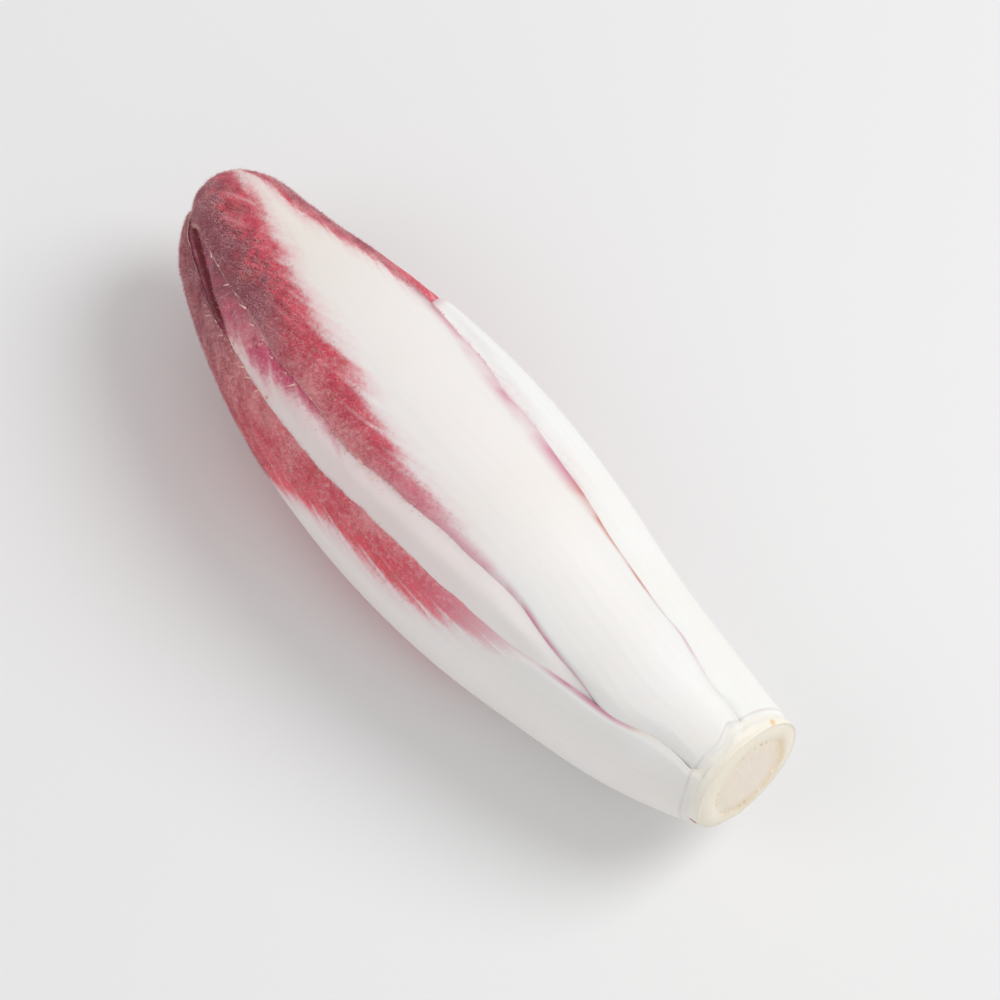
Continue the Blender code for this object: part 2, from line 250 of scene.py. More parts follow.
LEAVES = (
    Leaf("outer_leaf_front", "red_leaf", straight(-104),
         ((-1, 0.0026), (0, 0.0026), (0.7, 0.0031), (1, 0.0041)), 0.1500,
         ((0.0042, 0.0132), (0.007, 0.0147), (0.013, 0.0167), (0.020, 0.0170),
          (0.024, 0.0174), (0.030, 0.0181), (0.040, 0.0190), (0.050, 0.0203),
          (0.059, 0.0210), (0.070, 0.0214), (0.080, 0.0213), (0.092, 0.0198),
          (0.102, 0.0189), (0.111, 0.0181), (0.118, 0.0173), (0.125, 0.0162),
          (0.132, 0.0147), (0.138, 0.0131), (0.150, 0.0114)),
         ((0.055, 0.0), (0.062, 0.0003), (0.070, 0.0009), (0.080, 0.0015), (0.102, 0.0017),
          (0.118, 0.0023), (0.125, 0.0019), (0.132, 0.0006), (0.138, 0.0)),
         BLUNT_TIP,
         (CLOSING_WHITE,
          ((0.020, 0.022), (0.034, 0.0185), (0.043, 0.0163), (0.051, 0.0150), (0.058, 0.0133),
           (0.065, 0.0130), (0.074, 0.0128), (0.084, 0.0105), (0.092, 0.0050), (0.100, -0.001),
           (0.120, -0.006), (0.140, -0.009))),
         ((0.116, 0.0), (0.128, 0.0008), (0.138, 0.0008), (0.145, 0.0003), (LENGTH, 0.0)),
         FINE, Look(0.85, 0.12, (0.026, 0.082), 0.0, 1.0, (1.1, 0.45), 0.45,
                    dye="scarlet", mauve=(0.112, 0.130))),
    Leaf("outer_leaf_top", "white_leaf",
         ((0.004, -17), (0.009, -12), (0.013, -11.2), (0.020, -11), (0.024, -8.5),
          (0.030, -5), (0.036, -3), (0.044, 0), (0.058, 0), (0.070, -1), (0.084, -0.8),
          (0.096, 2.5), (0.105, 4), (0.116, 9), (0.126, 10), (DOME_START, 10)),
         ((-1, 0.0039), (-0.4, 0.0042), (0.1, 0.0043), (0.45, 0.0052), (0.62, 0.0057),
          (0.8, 0.0054), (1, 0.0052)),
         0.1600,
         ((0.0045, 0.0057), (0.009, 0.0070), (0.013, 0.00755), (0.020, 0.00965),
          (0.024, 0.0103), (0.030, 0.0101), (0.036, 0.0101), (0.044, 0.0104),
          (0.051, 0.0110), (0.058, 0.01205), (0.065, 0.0131), (0.070, 0.0138),
          (0.084, 0.0152), (0.096, 0.0168), (0.105, 0.0168), (0.116, 0.0172),
          (0.125, 0.0167), (0.132, 0.0156), (0.138, 0.0147), (0.150, 0.0137),
          (0.160, 0.0125)),
         ((0.056, 0.0), (0.064, 0.0004), (0.078, 0.0005), (0.084, 0.0006), (0.096, 0.0012),
          (0.105, 0.0015), (0.116, 0.0014), (0.125, 0.0013), (0.132, 0.0008),
          (0.136, 0.0008), (0.142, 0.0012), (0.148, 0.0019), (0.152, 0.0019),
          (0.156, 0.0011), (0.160, 0.0)),
         ROUND_TIP,
         (((0.030, 0.0122), (0.050, 0.0108), (0.065, 0.0098), (0.074, 0.0093),
           (0.084, 0.0077), (0.095, 0.0064), (0.109, 0.0055), (0.115, 0.0046),
           (0.120, 0.0032), (0.125, 0.0023), (0.129, 0.0010), (0.132, -0.0002),
           (0.135, -0.0013), (0.140, -0.0017), (0.150, -0.0036), (0.155, -0.0048)),
          ((0.020, 0.0120), (0.060, 0.0142), (0.096, 0.0160), (0.104, 0.0144),
           (0.112, 0.0117), (0.120, 0.0086), (0.128, 0.0068), (0.137, 0.0057),
           (0.144, 0.0048), (0.156, 0.0040))),
         NONE, FINE, Look(1.0, 0.12, (0.038, 0.104), 0.0, 0.6, (0.6, 1.25), 0.25,
                          seam="salmon", mauve=(0.096, 0.118))),
    Leaf("outer_leaf_under", "white_leaf", ((0, 182), (LENGTH, 176)),
         ((-1, 0.0040), (0.2, 0.0047), (1, 0.0030)), 0.1550,
         along(0.0045, 0.1550, ((0, 0.0112), (0.25, 0.0150), (0.5, 0.0185), (0.75, 0.0165),
                                (1, 0.0105))),
         NONE, ROUND_TIP, (CLOSING_WHITE, CLOSING_WHITE), NONE, FINE, RED_LOOK),
    Leaf("outer_leaf_back", "white_leaf", ((0, 74), (LENGTH, 80)),
         ((-1, 0.0053), (0, 0.0044), (1, 0.0040)), 0.1000,
         ((0.0048, 0.0138), (0.0286, 0.0180), (0.0524, 0.0205), (0.070, 0.0199),
          (0.082, 0.0182), (0.092, 0.0152), (0.100, 0.0115)),
         ((0.058, 0.0), (0.070, -0.0003), (0.082, -0.0015), (0.092, -0.0035),
          (0.100, -0.0065)),
         BLUNT_TIP,
         (((0.030, 0.020), (0.059, 0.0163), (0.066, 0.0166), (0.073, 0.0160), (0.085, 0.0150),
           (0.100, 0.0125)),
          ((0.040, 0.019), (0.060, 0.0140), (0.080, 0.0095), (0.092, 0.0050),
           (0.100, 0.0010))),
         ((0.045, 0.0), (0.085, 0.0007), (0.100, 0.0007)), FINE,
         Look(0.5, 0.0, (-0.30, 0.50), 0.6, 4.5, (0.3, 0.5), 0.0)),
    second_leaf("second_leaf_front", straight(-52), 0.0090, 0.1580,
                (((0.030, 0.015), (0.060, 0.0150), (0.092, 0.0125), (0.102, 0.0090),
                  (0.112, 0.0035), (0.119, 0.0003), (0.130, -0.002), (0.140, -0.004)),
                 ((0.020, 0.0200), (0.060, 0.0090), (0.080, 0.0052), (0.092, 0.0042),
                  (0.100, 0.0028), (0.107, 0.0012), (0.116, -0.0004), (0.132, -0.0035))),
                Look(0.7, 0.85, (0.062, 0.112), 0.0, 1.0, (0.6, 0.6), 0.75, dye="magenta")),
    second_leaf("second_leaf_low", ((0, -150), (LENGTH, -147)), 0.0110, 0.1540,
                (CLOSING_WHITE, CLOSING_WHITE)),
    second_leaf("second_leaf_back", ((0, 46), (LENGTH, 58)), 0.0120, 0.1600,
                (EARLY_CLOSING, EARLY_CLOSING)),
    second_leaf("second_leaf_far", ((0, 124), (LENGTH, 119)), 0.0135, 0.1570,
                (CLOSING_WHITE, CLOSING_WHITE)),
) + tuple(inner_leaf(number + 1, *places) for number, places in enumerate((
    (0, 0.0160, 0.150), (137, 0.0185, 0.149), (-85, 0.0210, 0.148), (52, 0.0235, 0.146),
    (-170, 0.0260, 0.144), (-32, 0.0290, 0.142), (105, 0.0320, 0.139),
)))
print(len(LEAVES), "leaves:", ", ".join(leaf.name for leaf in LEAVES))

# %% [markdown]
# ### Leaf places
# A grid on a leaf has a share of its length and a side from -1 to 1 across it. On the
# barrel of the head these are simply distance and angle. Over the tip the midrib climbs the
# dome, and the blade lies to either side of it along great circles, so that the tip of a
# leaf stays a neat hood where a plain polar grid would pinch it. The short leaf at the back
# is also swept back on one side, so that it ends in a point and not in a blunt edge.

# %% From leaf places to head places and back
TIP_ROUND = 0.016
SWEEPS = {"outer_leaf_back": 0.022}
RAGGED_FINE, RAGGED_BROAD = 0.00016, 0.00025


def middle_turn(leaf, run):
    return np.radians(smooth_curve(leaf.turns, np.minimum(run, DOME_START)))


def from_leaf(leaf, run, across):
    """Head run and turn of points given along the midrib and, as an angle, across it."""
    angle = tip_angle(run)
    climb = np.arcsin(np.clip(np.cos(across) * np.sin(angle), -1, 1))
    swing = np.arctan2(np.sin(across), np.cos(across) * np.cos(angle))
    dome = angle > 0
    head_run = np.where(dome, DOME_START + TIP_RADIUS * climb, run)
    return head_run, middle_turn(leaf, run) + np.where(dome, swing, across)


def to_leaf(leaf, run, turn):
    """The inverse of from_leaf."""
    angle = tip_angle(run)
    swing = turn - middle_turn(leaf, run)
    swing = np.arctan2(np.sin(swing), np.cos(swing))
    across = np.arcsin(np.cos(angle) * np.sin(swing))
    climb = np.arctan2(np.sin(angle), np.cos(angle) * np.cos(swing))
    dome = angle > 0
    leaf_run = np.where(dome, DOME_START + TIP_RADIUS * climb, run)
    return leaf_run, np.where(dome, across, swing)


def barrel_radius(run):
    return round_radius(np.minimum(run, DOME_START))


def half_width(leaf, share, side):
    """Width of the leaf's left or right half, with the unevenness of a grown margin."""
    foot = leaf.foot[0][1]
    run = foot + (leaf.tip - foot) * share
    width = smooth_curve(leaf.widths, run) - smooth_curve(leaf.trim, run) * (side < 0)
    seed = len(leaf.name) + leaf.tip * 1000
    ragged = RAGGED_FINE * soft_noise(share * 75, share * 0, seed)
    ragged = ragged + RAGGED_BROAD * soft_noise(share * 17, share * 0, seed + 5)
    calm = 0.3 + 0.7 * smooth_step(0.4, 0.7, share)
    return width + ragged * calm * smooth_step(0.15, 0.35, share)


def foot_run(leaf, side):
    return smooth_curve(leaf.foot, side)


def blade_end(leaf, side):
    """Where a leaf ends: rounded, and for some leaves swept back on the right."""
    sweep = SWEEPS.get(leaf.name, 0.0) * (np.clip(side + 0.2, 0, None) / 1.2) ** 2
    return leaf.tip - TIP_ROUND * np.abs(side) ** leaf.power - sweep


def leaf_place(leaf, share, side):
    foot = foot_run(leaf, side)
    run = foot + (blade_end(leaf, side) - foot) * share
    return run, side * half_width(leaf, share, side) / barrel_radius(run)


def leaf_share(leaf, run, across):
    """Share of the length and side of points, found by closing in on them."""
    foot = foot_run(leaf, np.zeros(1))[0]
    share = (run - foot) / (leaf.tip - foot)
    side = np.zeros_like(share)
    for _ in range(6):
        width = half_width(leaf, np.clip(share, 0, 1), across)
        side = across * barrel_radius(run) / width
        clipped = np.clip(side, -1, 1)
        foot = foot_run(leaf, clipped)
        share = (run - foot) / (blade_end(leaf, clipped) - foot)
    return share, side


# %% [markdown]
# ### Thickness, ribs and puckers
# The midrib is crisp and up to 3.6 mm thick, the blade about a fifth of a millimetre at its
# margin, and at its foot the leaf runs out into the stem. The outer face carries faint ribs
# along the white part. On the red blade, side veins leave the midrib at a narrow angle and
# bend towards the tip, and the skin puckers between them. Margins round off and close down
# on the leaf below. The second leaf is folded in beside the front leaf, which leaves a dark
# slit near the tip. All this is made in the mesh and cut inwards, so that the head keeps
# the frame's outline.

# %% Relief of a leaf
BLADE, THINNEST = 0.00022, 0.00015
RIB_THICKNESS = ((0.0, 0.0024), (0.2, 0.0036), (0.5, 0.0026), (0.8, 0.0014), (1.0, 0.0008))
VEIN_SPACING, VEIN_SLOPE, VEIN_WIDTH, VEIN_PHASE = 0.0130, 2.1, 0.0006, 0.37
RED_START, HAIR_START = (-0.001, 0.0015), (0.050, 0.085)
MARGIN_DROP, MARGIN_WIDTH = 0.00034, 0.0013
RIPPLES, RIPPLE_DEPTH = 9, 0.0003
RIB_SPACING, RIB_DEPTH = 0.0021, 0.000025
PUCKER_DEPTH, GRAIN_DEPTH, VEIN_DEPTH = 0.00014, 0.00006, 0.00009
Fold = namedtuple("Fold", "middle width depth")
FOLDS = {"second_leaf_front": Fold(
    ((0.118, -0.0012), (0.126, -0.0006), (0.131, 0.0001), (0.138, 0.0006)), 0.0007,
    ((0.117, 0.0), (0.124, 0.0009), (0.136, 0.0012), (0.146, 0.0006), (0.152, 0.0)))}


def thickness(share, side):
    swell = np.clip(1 - side ** 2, 0, 1) ** 2.2
    full = BLADE + (smooth_curve(RIB_THICKNESS, share) - BLADE) * swell
    return THINNEST + (full - THINNEST) * smooth_step(-0.004, 0.04, share)


def edge_dip(share, side):
    """Shallow ripples of the margin, pressed inwards."""
    ripple = 0.5 - 0.5 * np.cos(2 * RIPPLES * math.pi * share)
    return RIPPLE_DEPTH * ripple * np.clip(np.abs(side), 0, 1) ** 6


def red_depth(leaf, run, across):
    """Distance from the white zone's border, positive out on the red blade."""
    left = -across - smooth_curve(leaf.white[0], run)
    right = across - smooth_curve(leaf.white[1], run)
    return np.maximum(left, right)


def vein_root(run, across):
    """The run at which a side vein through each point leaves the midrib."""
    reach = np.abs(across)
    return run - VEIN_SLOPE * reach * (1 + 40 * reach)


Relief = namedtuple("Relief", "cut red edge root hair crease foot")


def leaf_relief(leaf, share, side):
    """Depth of the outer face's relief, and the fields that the material reads."""
    run, angle = leaf_place(leaf, share, side)
    across = angle * barrel_radius(run)
    edge = (1 - np.abs(side)) * half_width(leaf, share, side)
    end = (1 - share) * (leaf.tip - leaf.foot[0][1])
    edge = np.minimum(edge, end)
    red = red_depth(leaf, run, across)
    in_red = smooth_step(*RED_START, red)
    root = vein_root(run, across)
    wander = 0.0012 * soft_noise(run * 150, across * 400, len(leaf.name))
    phase = (root + wander) / VEIN_SPACING + VEIN_PHASE * np.sign(across)
    crest = np.abs(phase - np.round(phase)) * VEIN_SPACING / VEIN_SLOPE
    vein = np.exp(-(crest / VEIN_WIDTH) ** 2)
    pucker = 0.5 + 0.5 * soft_noise(root * 330, across * 260, 1)
    fine = 0.5 + 0.5 * soft_noise(across * 1150, run * 800, 2)
    sway = 2 * soft_noise(run * 30, across * 60, 4)
    ribs = np.cos(across * 2 * math.pi / RIB_SPACING + sway)
    ribs = (0.5 + 0.5 * ribs) * smooth_step(0.004, 0.02, run) * (1 - in_red)
    cut = in_red * (PUCKER_DEPTH * pucker + GRAIN_DEPTH * fine + VEIN_DEPTH * (1 - vein))
    cut = cut + RIB_DEPTH * ribs * (1 - 0.5 * share)
    cut = cut + MARGIN_DROP * (1 - smooth_step(0, MARGIN_WIDTH, edge))
    crease = np.zeros_like(run)
    if leaf.name in FOLDS:
        fold = FOLDS[leaf.name]
        reach = np.exp(-((across - smooth_curve(fold.middle, run)) / fold.width) ** 2)
        crease = smooth_curve(fold.depth, run) * reach
    hair = in_red * smooth_step(*HAIR_START, run)
    return Relief(cut + crease, red, edge, root, hair, crease * 1000,
                  run - foot_run(leaf, side))


# %% [markdown]
# ### Nesting
# The leaves are laid from the outside in. A table of depths round the head remembers how
# far down the next leaf must lie. Each leaf reads it through a small window, once for the
# deepest value and once for the mean, so that it follows the leaves above it smoothly and
# never cuts into them.

# %% The table of depths
ROWS, COLUMNS = 560, 720
CELL = 0.0005
REACH = 2
NEST_GAP = 0.00005
BED_MARGIN = 0.004


class DepthTable:
    def __init__(self):
        runs = np.linspace(0, POLE_RUN, ROWS)
        turns = np.radians(np.arange(COLUMNS) * 360 / COLUMNS)
        self.run, self.turn = np.meshgrid(runs, turns, indexing="ij")
        self.depth = np.zeros((ROWS, COLUMNS))

    def read(self, run, turn):
        row = np.clip(run / POLE_RUN * (ROWS - 1), 0, ROWS - 1.001)
        column = np.mod(turn / (2 * math.pi) * COLUMNS, COLUMNS)
        return blend_cells(self.depth, row, column, wrap=True)


def blend_cells(table, row, column, wrap=False):
    """Value between four neighbouring cells."""
    r = row.astype(int)
    c = column.astype(int)
    f = row - r
    g = column - c
    right = c + 1
    if wrap:
        c = c % table.shape[1]
        right = right % table.shape[1]
    low = table[r, c] * (1 - g) + table[r, right] * g
    high = table[r + 1, c] * (1 - g) + table[r + 1, right] * g
    return low * (1 - f) + high * f


def window(values, how, axis):
    shifted = [np.roll(values, step, axis) for step in range(-REACH, REACH + 1)]
    return how(shifted, axis=0)


class LeafBed:
    """The smoothed depth at which one leaf's outer face lies."""

    def __init__(self, leaf, table):
        self.leaf = leaf
        self.runs = np.arange(leaf.foot[0][1] - BED_MARGIN, leaf.tip + BED_MARGIN, CELL)
        spread = max(width for _, width in leaf.widths) + BED_MARGIN
        self.arcs = np.arange(-spread, spread, CELL)
        run, arc = np.meshgrid(self.runs, self.arcs, indexing="ij")
        run = np.maximum(run, 0)
        head_run, turn = from_leaf(leaf, run, arc / barrel_radius(run))
        depth = table.read(head_run, turn)
        for how in (np.max, np.mean):
            for axis in (0, 1):
                depth = window(depth, how, axis)
        self.depth = depth

    def read(self, run, across):
        arc = across * barrel_radius(np.maximum(run, 0))
        row = np.clip((run - self.runs[0]) / CELL, 0, len(self.runs) - 1.001)
        column = np.clip((arc - self.arcs[0]) / CELL, 0, len(self.arcs) - 1.001)
        return blend_cells(self.depth, row, column)

    def base_depth(self, share, side):
        run, across = leaf_place(self.leaf, share, side)
        bed = self.read(run, across)
        free = np.clip(1 - bed / BLADE, 0, 1)
        lift = smooth_curve(self.leaf.lift, run) * free * smooth_step(-0.4, 0.7, np.abs(side))
        return bed + edge_dip(share, side) - lift


def cover(table, bed):
    """Push the table down below a leaf, wherever the leaf covers the head."""
    leaf = bed.leaf
    run, across = to_leaf(leaf, table.run, table.turn)
    share, side = leaf_share(leaf, run, across)
    inside = (share > -0.004) & (share < 1.004) & (np.abs(side) < 1.02)
    share = np.clip(share, 0, 1)
    side = np.clip(side, -1, 1)
    under = bed.base_depth(share, side) + thickness(share, side) + NEST_GAP
    table.depth = np.where(inside, np.maximum(table.depth, under), table.depth)


# %% [markdown]
# ### From grid to leaf
# A leaf is a closed shell: an outer face, an inner face split the same way, and between
# them a rim whose middle line is pushed out a little, which rounds the margin. The fields
# that steer the colours are stored on its points, and its UV map holds the distance across
# and along the leaf in metres, so that veins and streaks run with the leaf.

# %% Shell of a leaf
RIM_REACH, RIM_ROUND = 0.0006, 0.45


def grid_faces(rows, columns, offset, flip):
    i, j = np.meshgrid(np.arange(rows - 1), np.arange(columns - 1), indexing="ij")
    a = (i * columns + j + offset).ravel()
    quads = np.stack([a, a + 1, a + columns + 1, a + columns], axis=1)
    return quads[:, ::-1] if flip else quads


def border(rows, columns):
    """Indices of the grid's border, once round."""
    low = np.arange(columns)
    right = np.arange(1, rows) * columns + columns - 1
    high = (rows - 1) * columns + np.arange(columns - 2, -1, -1)
    left = np.arange(rows - 2, 0, -1) * columns
    return np.concatenate([low, right, high, left])


def shell(outer, inner, fields, uv, name):
    """A closed shell between two grids of points, with its fields and its UV map."""
    rows, columns = outer.shape[:2]
    count = rows * columns
    ring = border(rows, columns)
    flat_out = outer.reshape(-1, 3)
    flat_in = inner.reshape(-1, 3)
    inward = outer[1:-1, 1:-1].reshape(-1, 3)
    i = np.clip(ring // columns, 1, rows - 2) - 1
    j = np.clip(ring % columns, 1, columns - 2) - 1
    away = flat_out[ring] - inward[i * (columns - 2) + j]
    away = away / np.maximum(np.linalg.norm(away, axis=1, keepdims=True), 1e-9)
    wall = np.linalg.norm(flat_out[ring] - flat_in[ring], axis=1, keepdims=True)
    bulge = np.minimum(wall, RIM_REACH) * RIM_ROUND
    rim = (flat_out[ring] + flat_in[ring]) / 2 + away * bulge
    points = np.concatenate([flat_out, flat_in, rim])
    rim_id = 2 * count + np.arange(len(ring))
    after, rim_after = np.roll(ring, -1), np.roll(rim_id, -1)
    faces = np.concatenate([
        grid_faces(rows, columns, 0, False),
        grid_faces(rows, columns, count, True),
        np.stack([ring, rim_id, rim_after, after], axis=1),
        np.stack([rim_id, ring + count, after + count, rim_after], axis=1),
    ])
    mesh = bpy.data.meshes.new(name)
    mesh.from_pydata(points.tolist(), [], faces.tolist())
    for field, values in fields.items():
        flat = values.ravel()
        inside = flat * (field != "hair")
        full = np.concatenate([flat, inside, inside[ring]]).astype(np.float32)
        layer = mesh.attributes.new(field, "FLOAT", "POINT")
        layer.data.foreach_set("value", full)
    flat_uv = uv.reshape(-1, 2)
    full_uv = np.concatenate([flat_uv, flat_uv, flat_uv[ring]])
    corners = np.empty(len(mesh.loops), dtype=np.int32)
    mesh.loops.foreach_get("vertex_index", corners)
    layer = mesh.uv_layers.new(name="UVMap")
    layer.data.foreach_set("uv", full_uv[corners].astype(np.float32).ravel())
    bm = bmesh.new()
    bm.from_mesh(mesh)
    bmesh.ops.recalc_face_normals(bm, faces=bm.faces)
    if bm.calc_volume(signed=True) < 0:
        bmesh.ops.reverse_faces(bm, faces=bm.faces)
    bm.to_mesh(mesh)
    bm.free()
    mesh.shade_smooth()
    return mesh


def keep(mesh, material, slot, *nodes):
    """Make a finished piece of a mesh: it rides on the head and stands for its node."""
    mesh.materials.clear()
    mesh.materials.append(material)
    piece = add_object(mesh.name, mesh)
    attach(piece, "root")
    if nodes:
        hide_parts(*nodes)
    return piece


# %% [markdown]
# ## Materials
# The white of a witloof leaf is wet cell tissue: light sinks in a little and comes out
# softer, so its shader has a touch of subsurface. The red is a dye in the skin of the
# blade. It is bright next to the midrib, darker in the middle of the blade, and dulled near
# the margin by a bloom of tiny hairs, to a dusty pink and towards the tip to mauve. Side
# veins cross it, a little paler. The effects that all leaves share are node groups that
# give masks: a feathered border between white and red, the veins, and the bloom.

# %% Helpers for node trees
def linear(red, green, blue):
    """Colour given as 0 to 255 screen values, as the shader wants it."""
    return tuple(((c / 255 + 0.055) / 1.055) ** 2.4 if c > 10 else c / 255 / 12.92
                 for c in (red, green, blue)) + (1.0,)


class Tree:
    """Short words for building a node tree."""

    def __init__(self, tree):
        self.tree = tree

    def put(self, socket, value):
        if isinstance(value, bpy.types.NodeSocket):
            self.tree.links.new(value, socket)
        else:
            socket.default_value = value

    def node(self, kind, settings=None, **inputs):
        made = self.tree.nodes.new(kind)
        for key, value in (settings or {}).items():
            setattr(made, key, value)
        for key, value in inputs.items():
            self.put(made.inputs[key.replace("_", " ")], value)
        return made

    def math(self, how, a, b=0.0, c=0.0):
        made = self.node("ShaderNodeMath", {"operation": how})
        for socket, value in zip(made.inputs, (a, b, c)):
            self.put(socket, value)
        return made.outputs[0]

    def times(self, *values):
        return reduce(lambda total, value: self.math("MULTIPLY", total, value), values)

    def scaled(self, value, factor, base):
        """value * factor + base"""
        return self.math("MULTIPLY_ADD", value, factor, base)

    def vector(self, how, a, b, c=(0.0, 0.0, 0.0)):
        made = self.node("ShaderNodeVectorMath", {"operation": how})
        for socket, value in zip(made.inputs, (a, b, c)):
            self.put(socket, value)
        return made.outputs[0]

    def mix(self, share, a, b):
        made = self.node("ShaderNodeMix", {"data_type": "RGBA"})
        for number, value in ((0, share), (6, a), (7, b)):
            self.put(made.inputs[number], value)
        return made.outputs[2]

    def layers(self, colour, *layers):
        """Lay colours over one another, each given as (share, colour)."""
        return reduce(lambda under, layer: self.mix(layer[0], under, layer[1]), layers, colour)

    def bands(self, value, colour, *bands):
        """Colours that follow one another along a value, as (low, high, colour)."""
        return self.layers(colour, *((self.steps(value, low, high), over)
                                     for low, high, over in bands))

    def steps(self, value, low, high, out_low=0.0, out_high=1.0):
        made = self.node("ShaderNodeMapRange", {"interpolation_type": "SMOOTHSTEP"},
                         Value=value, From_Min=low, From_Max=high, To_Min=out_low,
                         To_Max=out_high)
        return made.outputs["Result"]

    def noise(self, vector, scale, detail=2.0, rough=0.5):
        made = self.node("ShaderNodeTexNoise", Vector=vector, Scale=scale, Detail=detail,
                         Roughness=rough)
        return made.outputs["Fac"]

    def swing(self, vector, scale, detail=2.0, rough=0.5):
        """Noise that swings about zero, by half a unit at most."""
        return self.math("SUBTRACT", self.noise(vector, scale, detail, rough), 0.5)

    def wander(self, vector, amount, scale):
        """Move a vector by a noise colour, so that a pattern wanders."""
        noise = self.node("ShaderNodeTexNoise", Vector=vector, Scale=scale, Detail=2.0)
        centred = self.vector("SUBTRACT", noise.outputs["Color"], (0.5, 0.5, 0.5))
        return self.vector("MULTIPLY_ADD", centred, (amount, amount, amount), vector)

    def plane(self, x, y, x_scale, y_scale):
        """Two stretched distances as one vector, for a pattern that follows the leaf."""
        made = self.node("ShaderNodeCombineXYZ", X=self.times(x, x_scale),
                         Y=self.times(y, y_scale))
        return made.outputs[0]

    def field(self, name):
        return self.node("ShaderNodeAttribute", {"attribute_name": name}).outputs["Fac"]

    def group(self, group, **inputs):
        made = self.node("ShaderNodeGroup", {"node_tree": group}, **inputs)
        return made.outputs

    def feed(self, shader, values):
        for name, value in values.items():
            self.put(shader.inputs[name], value)

    def bump(self, height, strength, distance):
        return self.node("ShaderNodeBump", Height=height, Strength=strength,
                         Distance=distance).outputs["Normal"]


def new_skin(name):
    """A material, its shader, words to fill its tree with, and the place of a point."""
    material = bpy.data.materials.new(name)
    material.use_nodes = True
    tree = Tree(material.node_tree)
    place = tree.node("ShaderNodeTexCoord").outputs["Object"]
    return material, material.node_tree.nodes["Principled BSDF"], tree, place


FLOAT, VECTOR, GEOMETRY = "NodeSocketFloat", "NodeSocketVector", "NodeSocketGeometry"
INTEGER, MATERIAL = "NodeSocketInt", "NodeSocketMaterial"


def new_group(kind, name, inputs, outputs):
    """A node group with named sockets, and words to fill it with."""
    group = bpy.data.node_groups.new(name, kind)
    for socket, socket_kind, value in inputs:
        made = group.interface.new_socket(name=socket, in_out="INPUT",
                                          socket_type=socket_kind)
        if value is not None:
            made.default_value = value
    for socket, socket_kind in outputs:
        group.interface.new_socket(name=socket, in_out="OUTPUT", socket_type=socket_kind)
    start = group.nodes.new("NodeGroupInput")
    end = group.nodes.new("NodeGroupOutput")
    return group, Tree(group), start.outputs, end.inputs


def new_masks(name, inputs, masks):
    """A shader group that turns fields of a leaf into masks."""
    return new_group("ShaderNodeTree", name,
                     [(socket, VECTOR if socket == "Place" else FLOAT, None)
                      for socket in inputs], [(mask, FLOAT) for mask in masks])

# %% [markdown]
# The red does not stop at a line. It thins out over a few millimetres, a little further
# along some side veins than others. Each point of a leaf knows the place on the midrib that
# its vein grows from, its root. A noise that changes quickly from root to root, and slowly
# on the way out, gives soft flames that follow the veins, and a fine grain breaks them up.

# %% Group: the feathered border between white and red
FEATHER, HAZE = (-0.0013, 0.0020), (-0.0044, 0.0012)


def border_group():
    group, tree, take, give = new_masks(
        "feathered_border", ("Distance", "Root", "Across", "Place"), ("Mask", "Haze"))
    root, across = take["Root"], take["Across"]
    flames = tree.swing(tree.plane(root, across, 110.0, 190.0), 1.0)
    streaks = tree.swing(tree.plane(root, across, 420.0, 420.0), 1.0, 2.0, 0.6)
    grain = tree.swing(take["Place"], 900.0, 4.0, 0.75)
    wobble = tree.scaled(streaks, 0.0009, tree.times(flames, 0.0056))
    moved = tree.math("ADD", tree.scaled(grain, 0.0034, wobble), take["Distance"])
    tree.put(give["Mask"], tree.steps(moved, *FEATHER))
    tree.put(give["Haze"], tree.steps(moved, *HAZE))
    return group


# %% Group: main and fine side veins
def vein_group():
    group, tree, take, give = new_masks(
        "side_veins", ("Root", "Across", "Place"), ("Main", "Fine", "Net"))
    drift = tree.swing(take["Place"], 110.0, 3.0)
    side = tree.math("SIGN", take["Across"])

    def lines(spacing, wander, width, phase):
        root = tree.scaled(drift, wander, take["Root"])
        turn = tree.scaled(root, 1 / spacing, tree.times(side, phase))
        away = tree.math("PINGPONG", tree.math("ADD", turn, 100.0), 0.5)
        return tree.steps(tree.times(away, spacing), 0.0, width, 1.0, 0.0)

    patchy = tree.steps(tree.noise(take["Place"], 160.0, 2.0), 0.40, 0.62, 0.15, 1.0)
    tree.put(give["Main"], tree.times(lines(VEIN_SPACING, 0.0050, 0.0022, VEIN_PHASE), patchy))
    spotty = tree.steps(tree.noise(take["Place"], 330.0, 2.0), 0.42, 0.60)
    tree.put(give["Fine"], tree.times(lines(0.0027, 0.0064, 0.0008, 0.21), spotty))
    cells = tree.wander(tree.plane(take["Root"], take["Across"], 900.0, 1100.0), 1.3, 1.1)
    net = tree.node("ShaderNodeTexVoronoi", {"feature": "DISTANCE_TO_EDGE"}, Vector=cells,
                    Scale=1.0)
    tree.put(give["Net"], tree.steps(net.outputs["Distance"], 0.0, 0.16, 1.0, 0.0))
    return group


# %% Group: the bloom of tiny hairs
def bloom_group():
    group, tree, take, give = new_masks(
        "hairy_bloom", ("Place", "Amount"), ("Mask", "Dots", "Grain"))
    place = take["Place"]
    cloud = tree.swing(place, 170.0, 3.0, 0.6)
    speck = tree.noise(place, 1300.0, 3.0, 0.75)
    moved = tree.scaled(cloud, 2.2, take["Amount"])
    moved = tree.scaled(tree.math("SUBTRACT", speck, 0.5), 1.6, moved)
    tree.put(give["Mask"], tree.steps(moved, 0.15, 0.95))
    tree.put(give["Dots"], tree.steps(speck, 0.53, 0.66))
    tree.put(give["Grain"], tree.scaled(tree.noise(place, 2600.0, 1.0), 0.5, speck))
    return group


BORDER, VEINS, BLOOM = border_group(), vein_group(), bloom_group()
print("shader groups:", BORDER.name, VEINS.name, BLOOM.name)
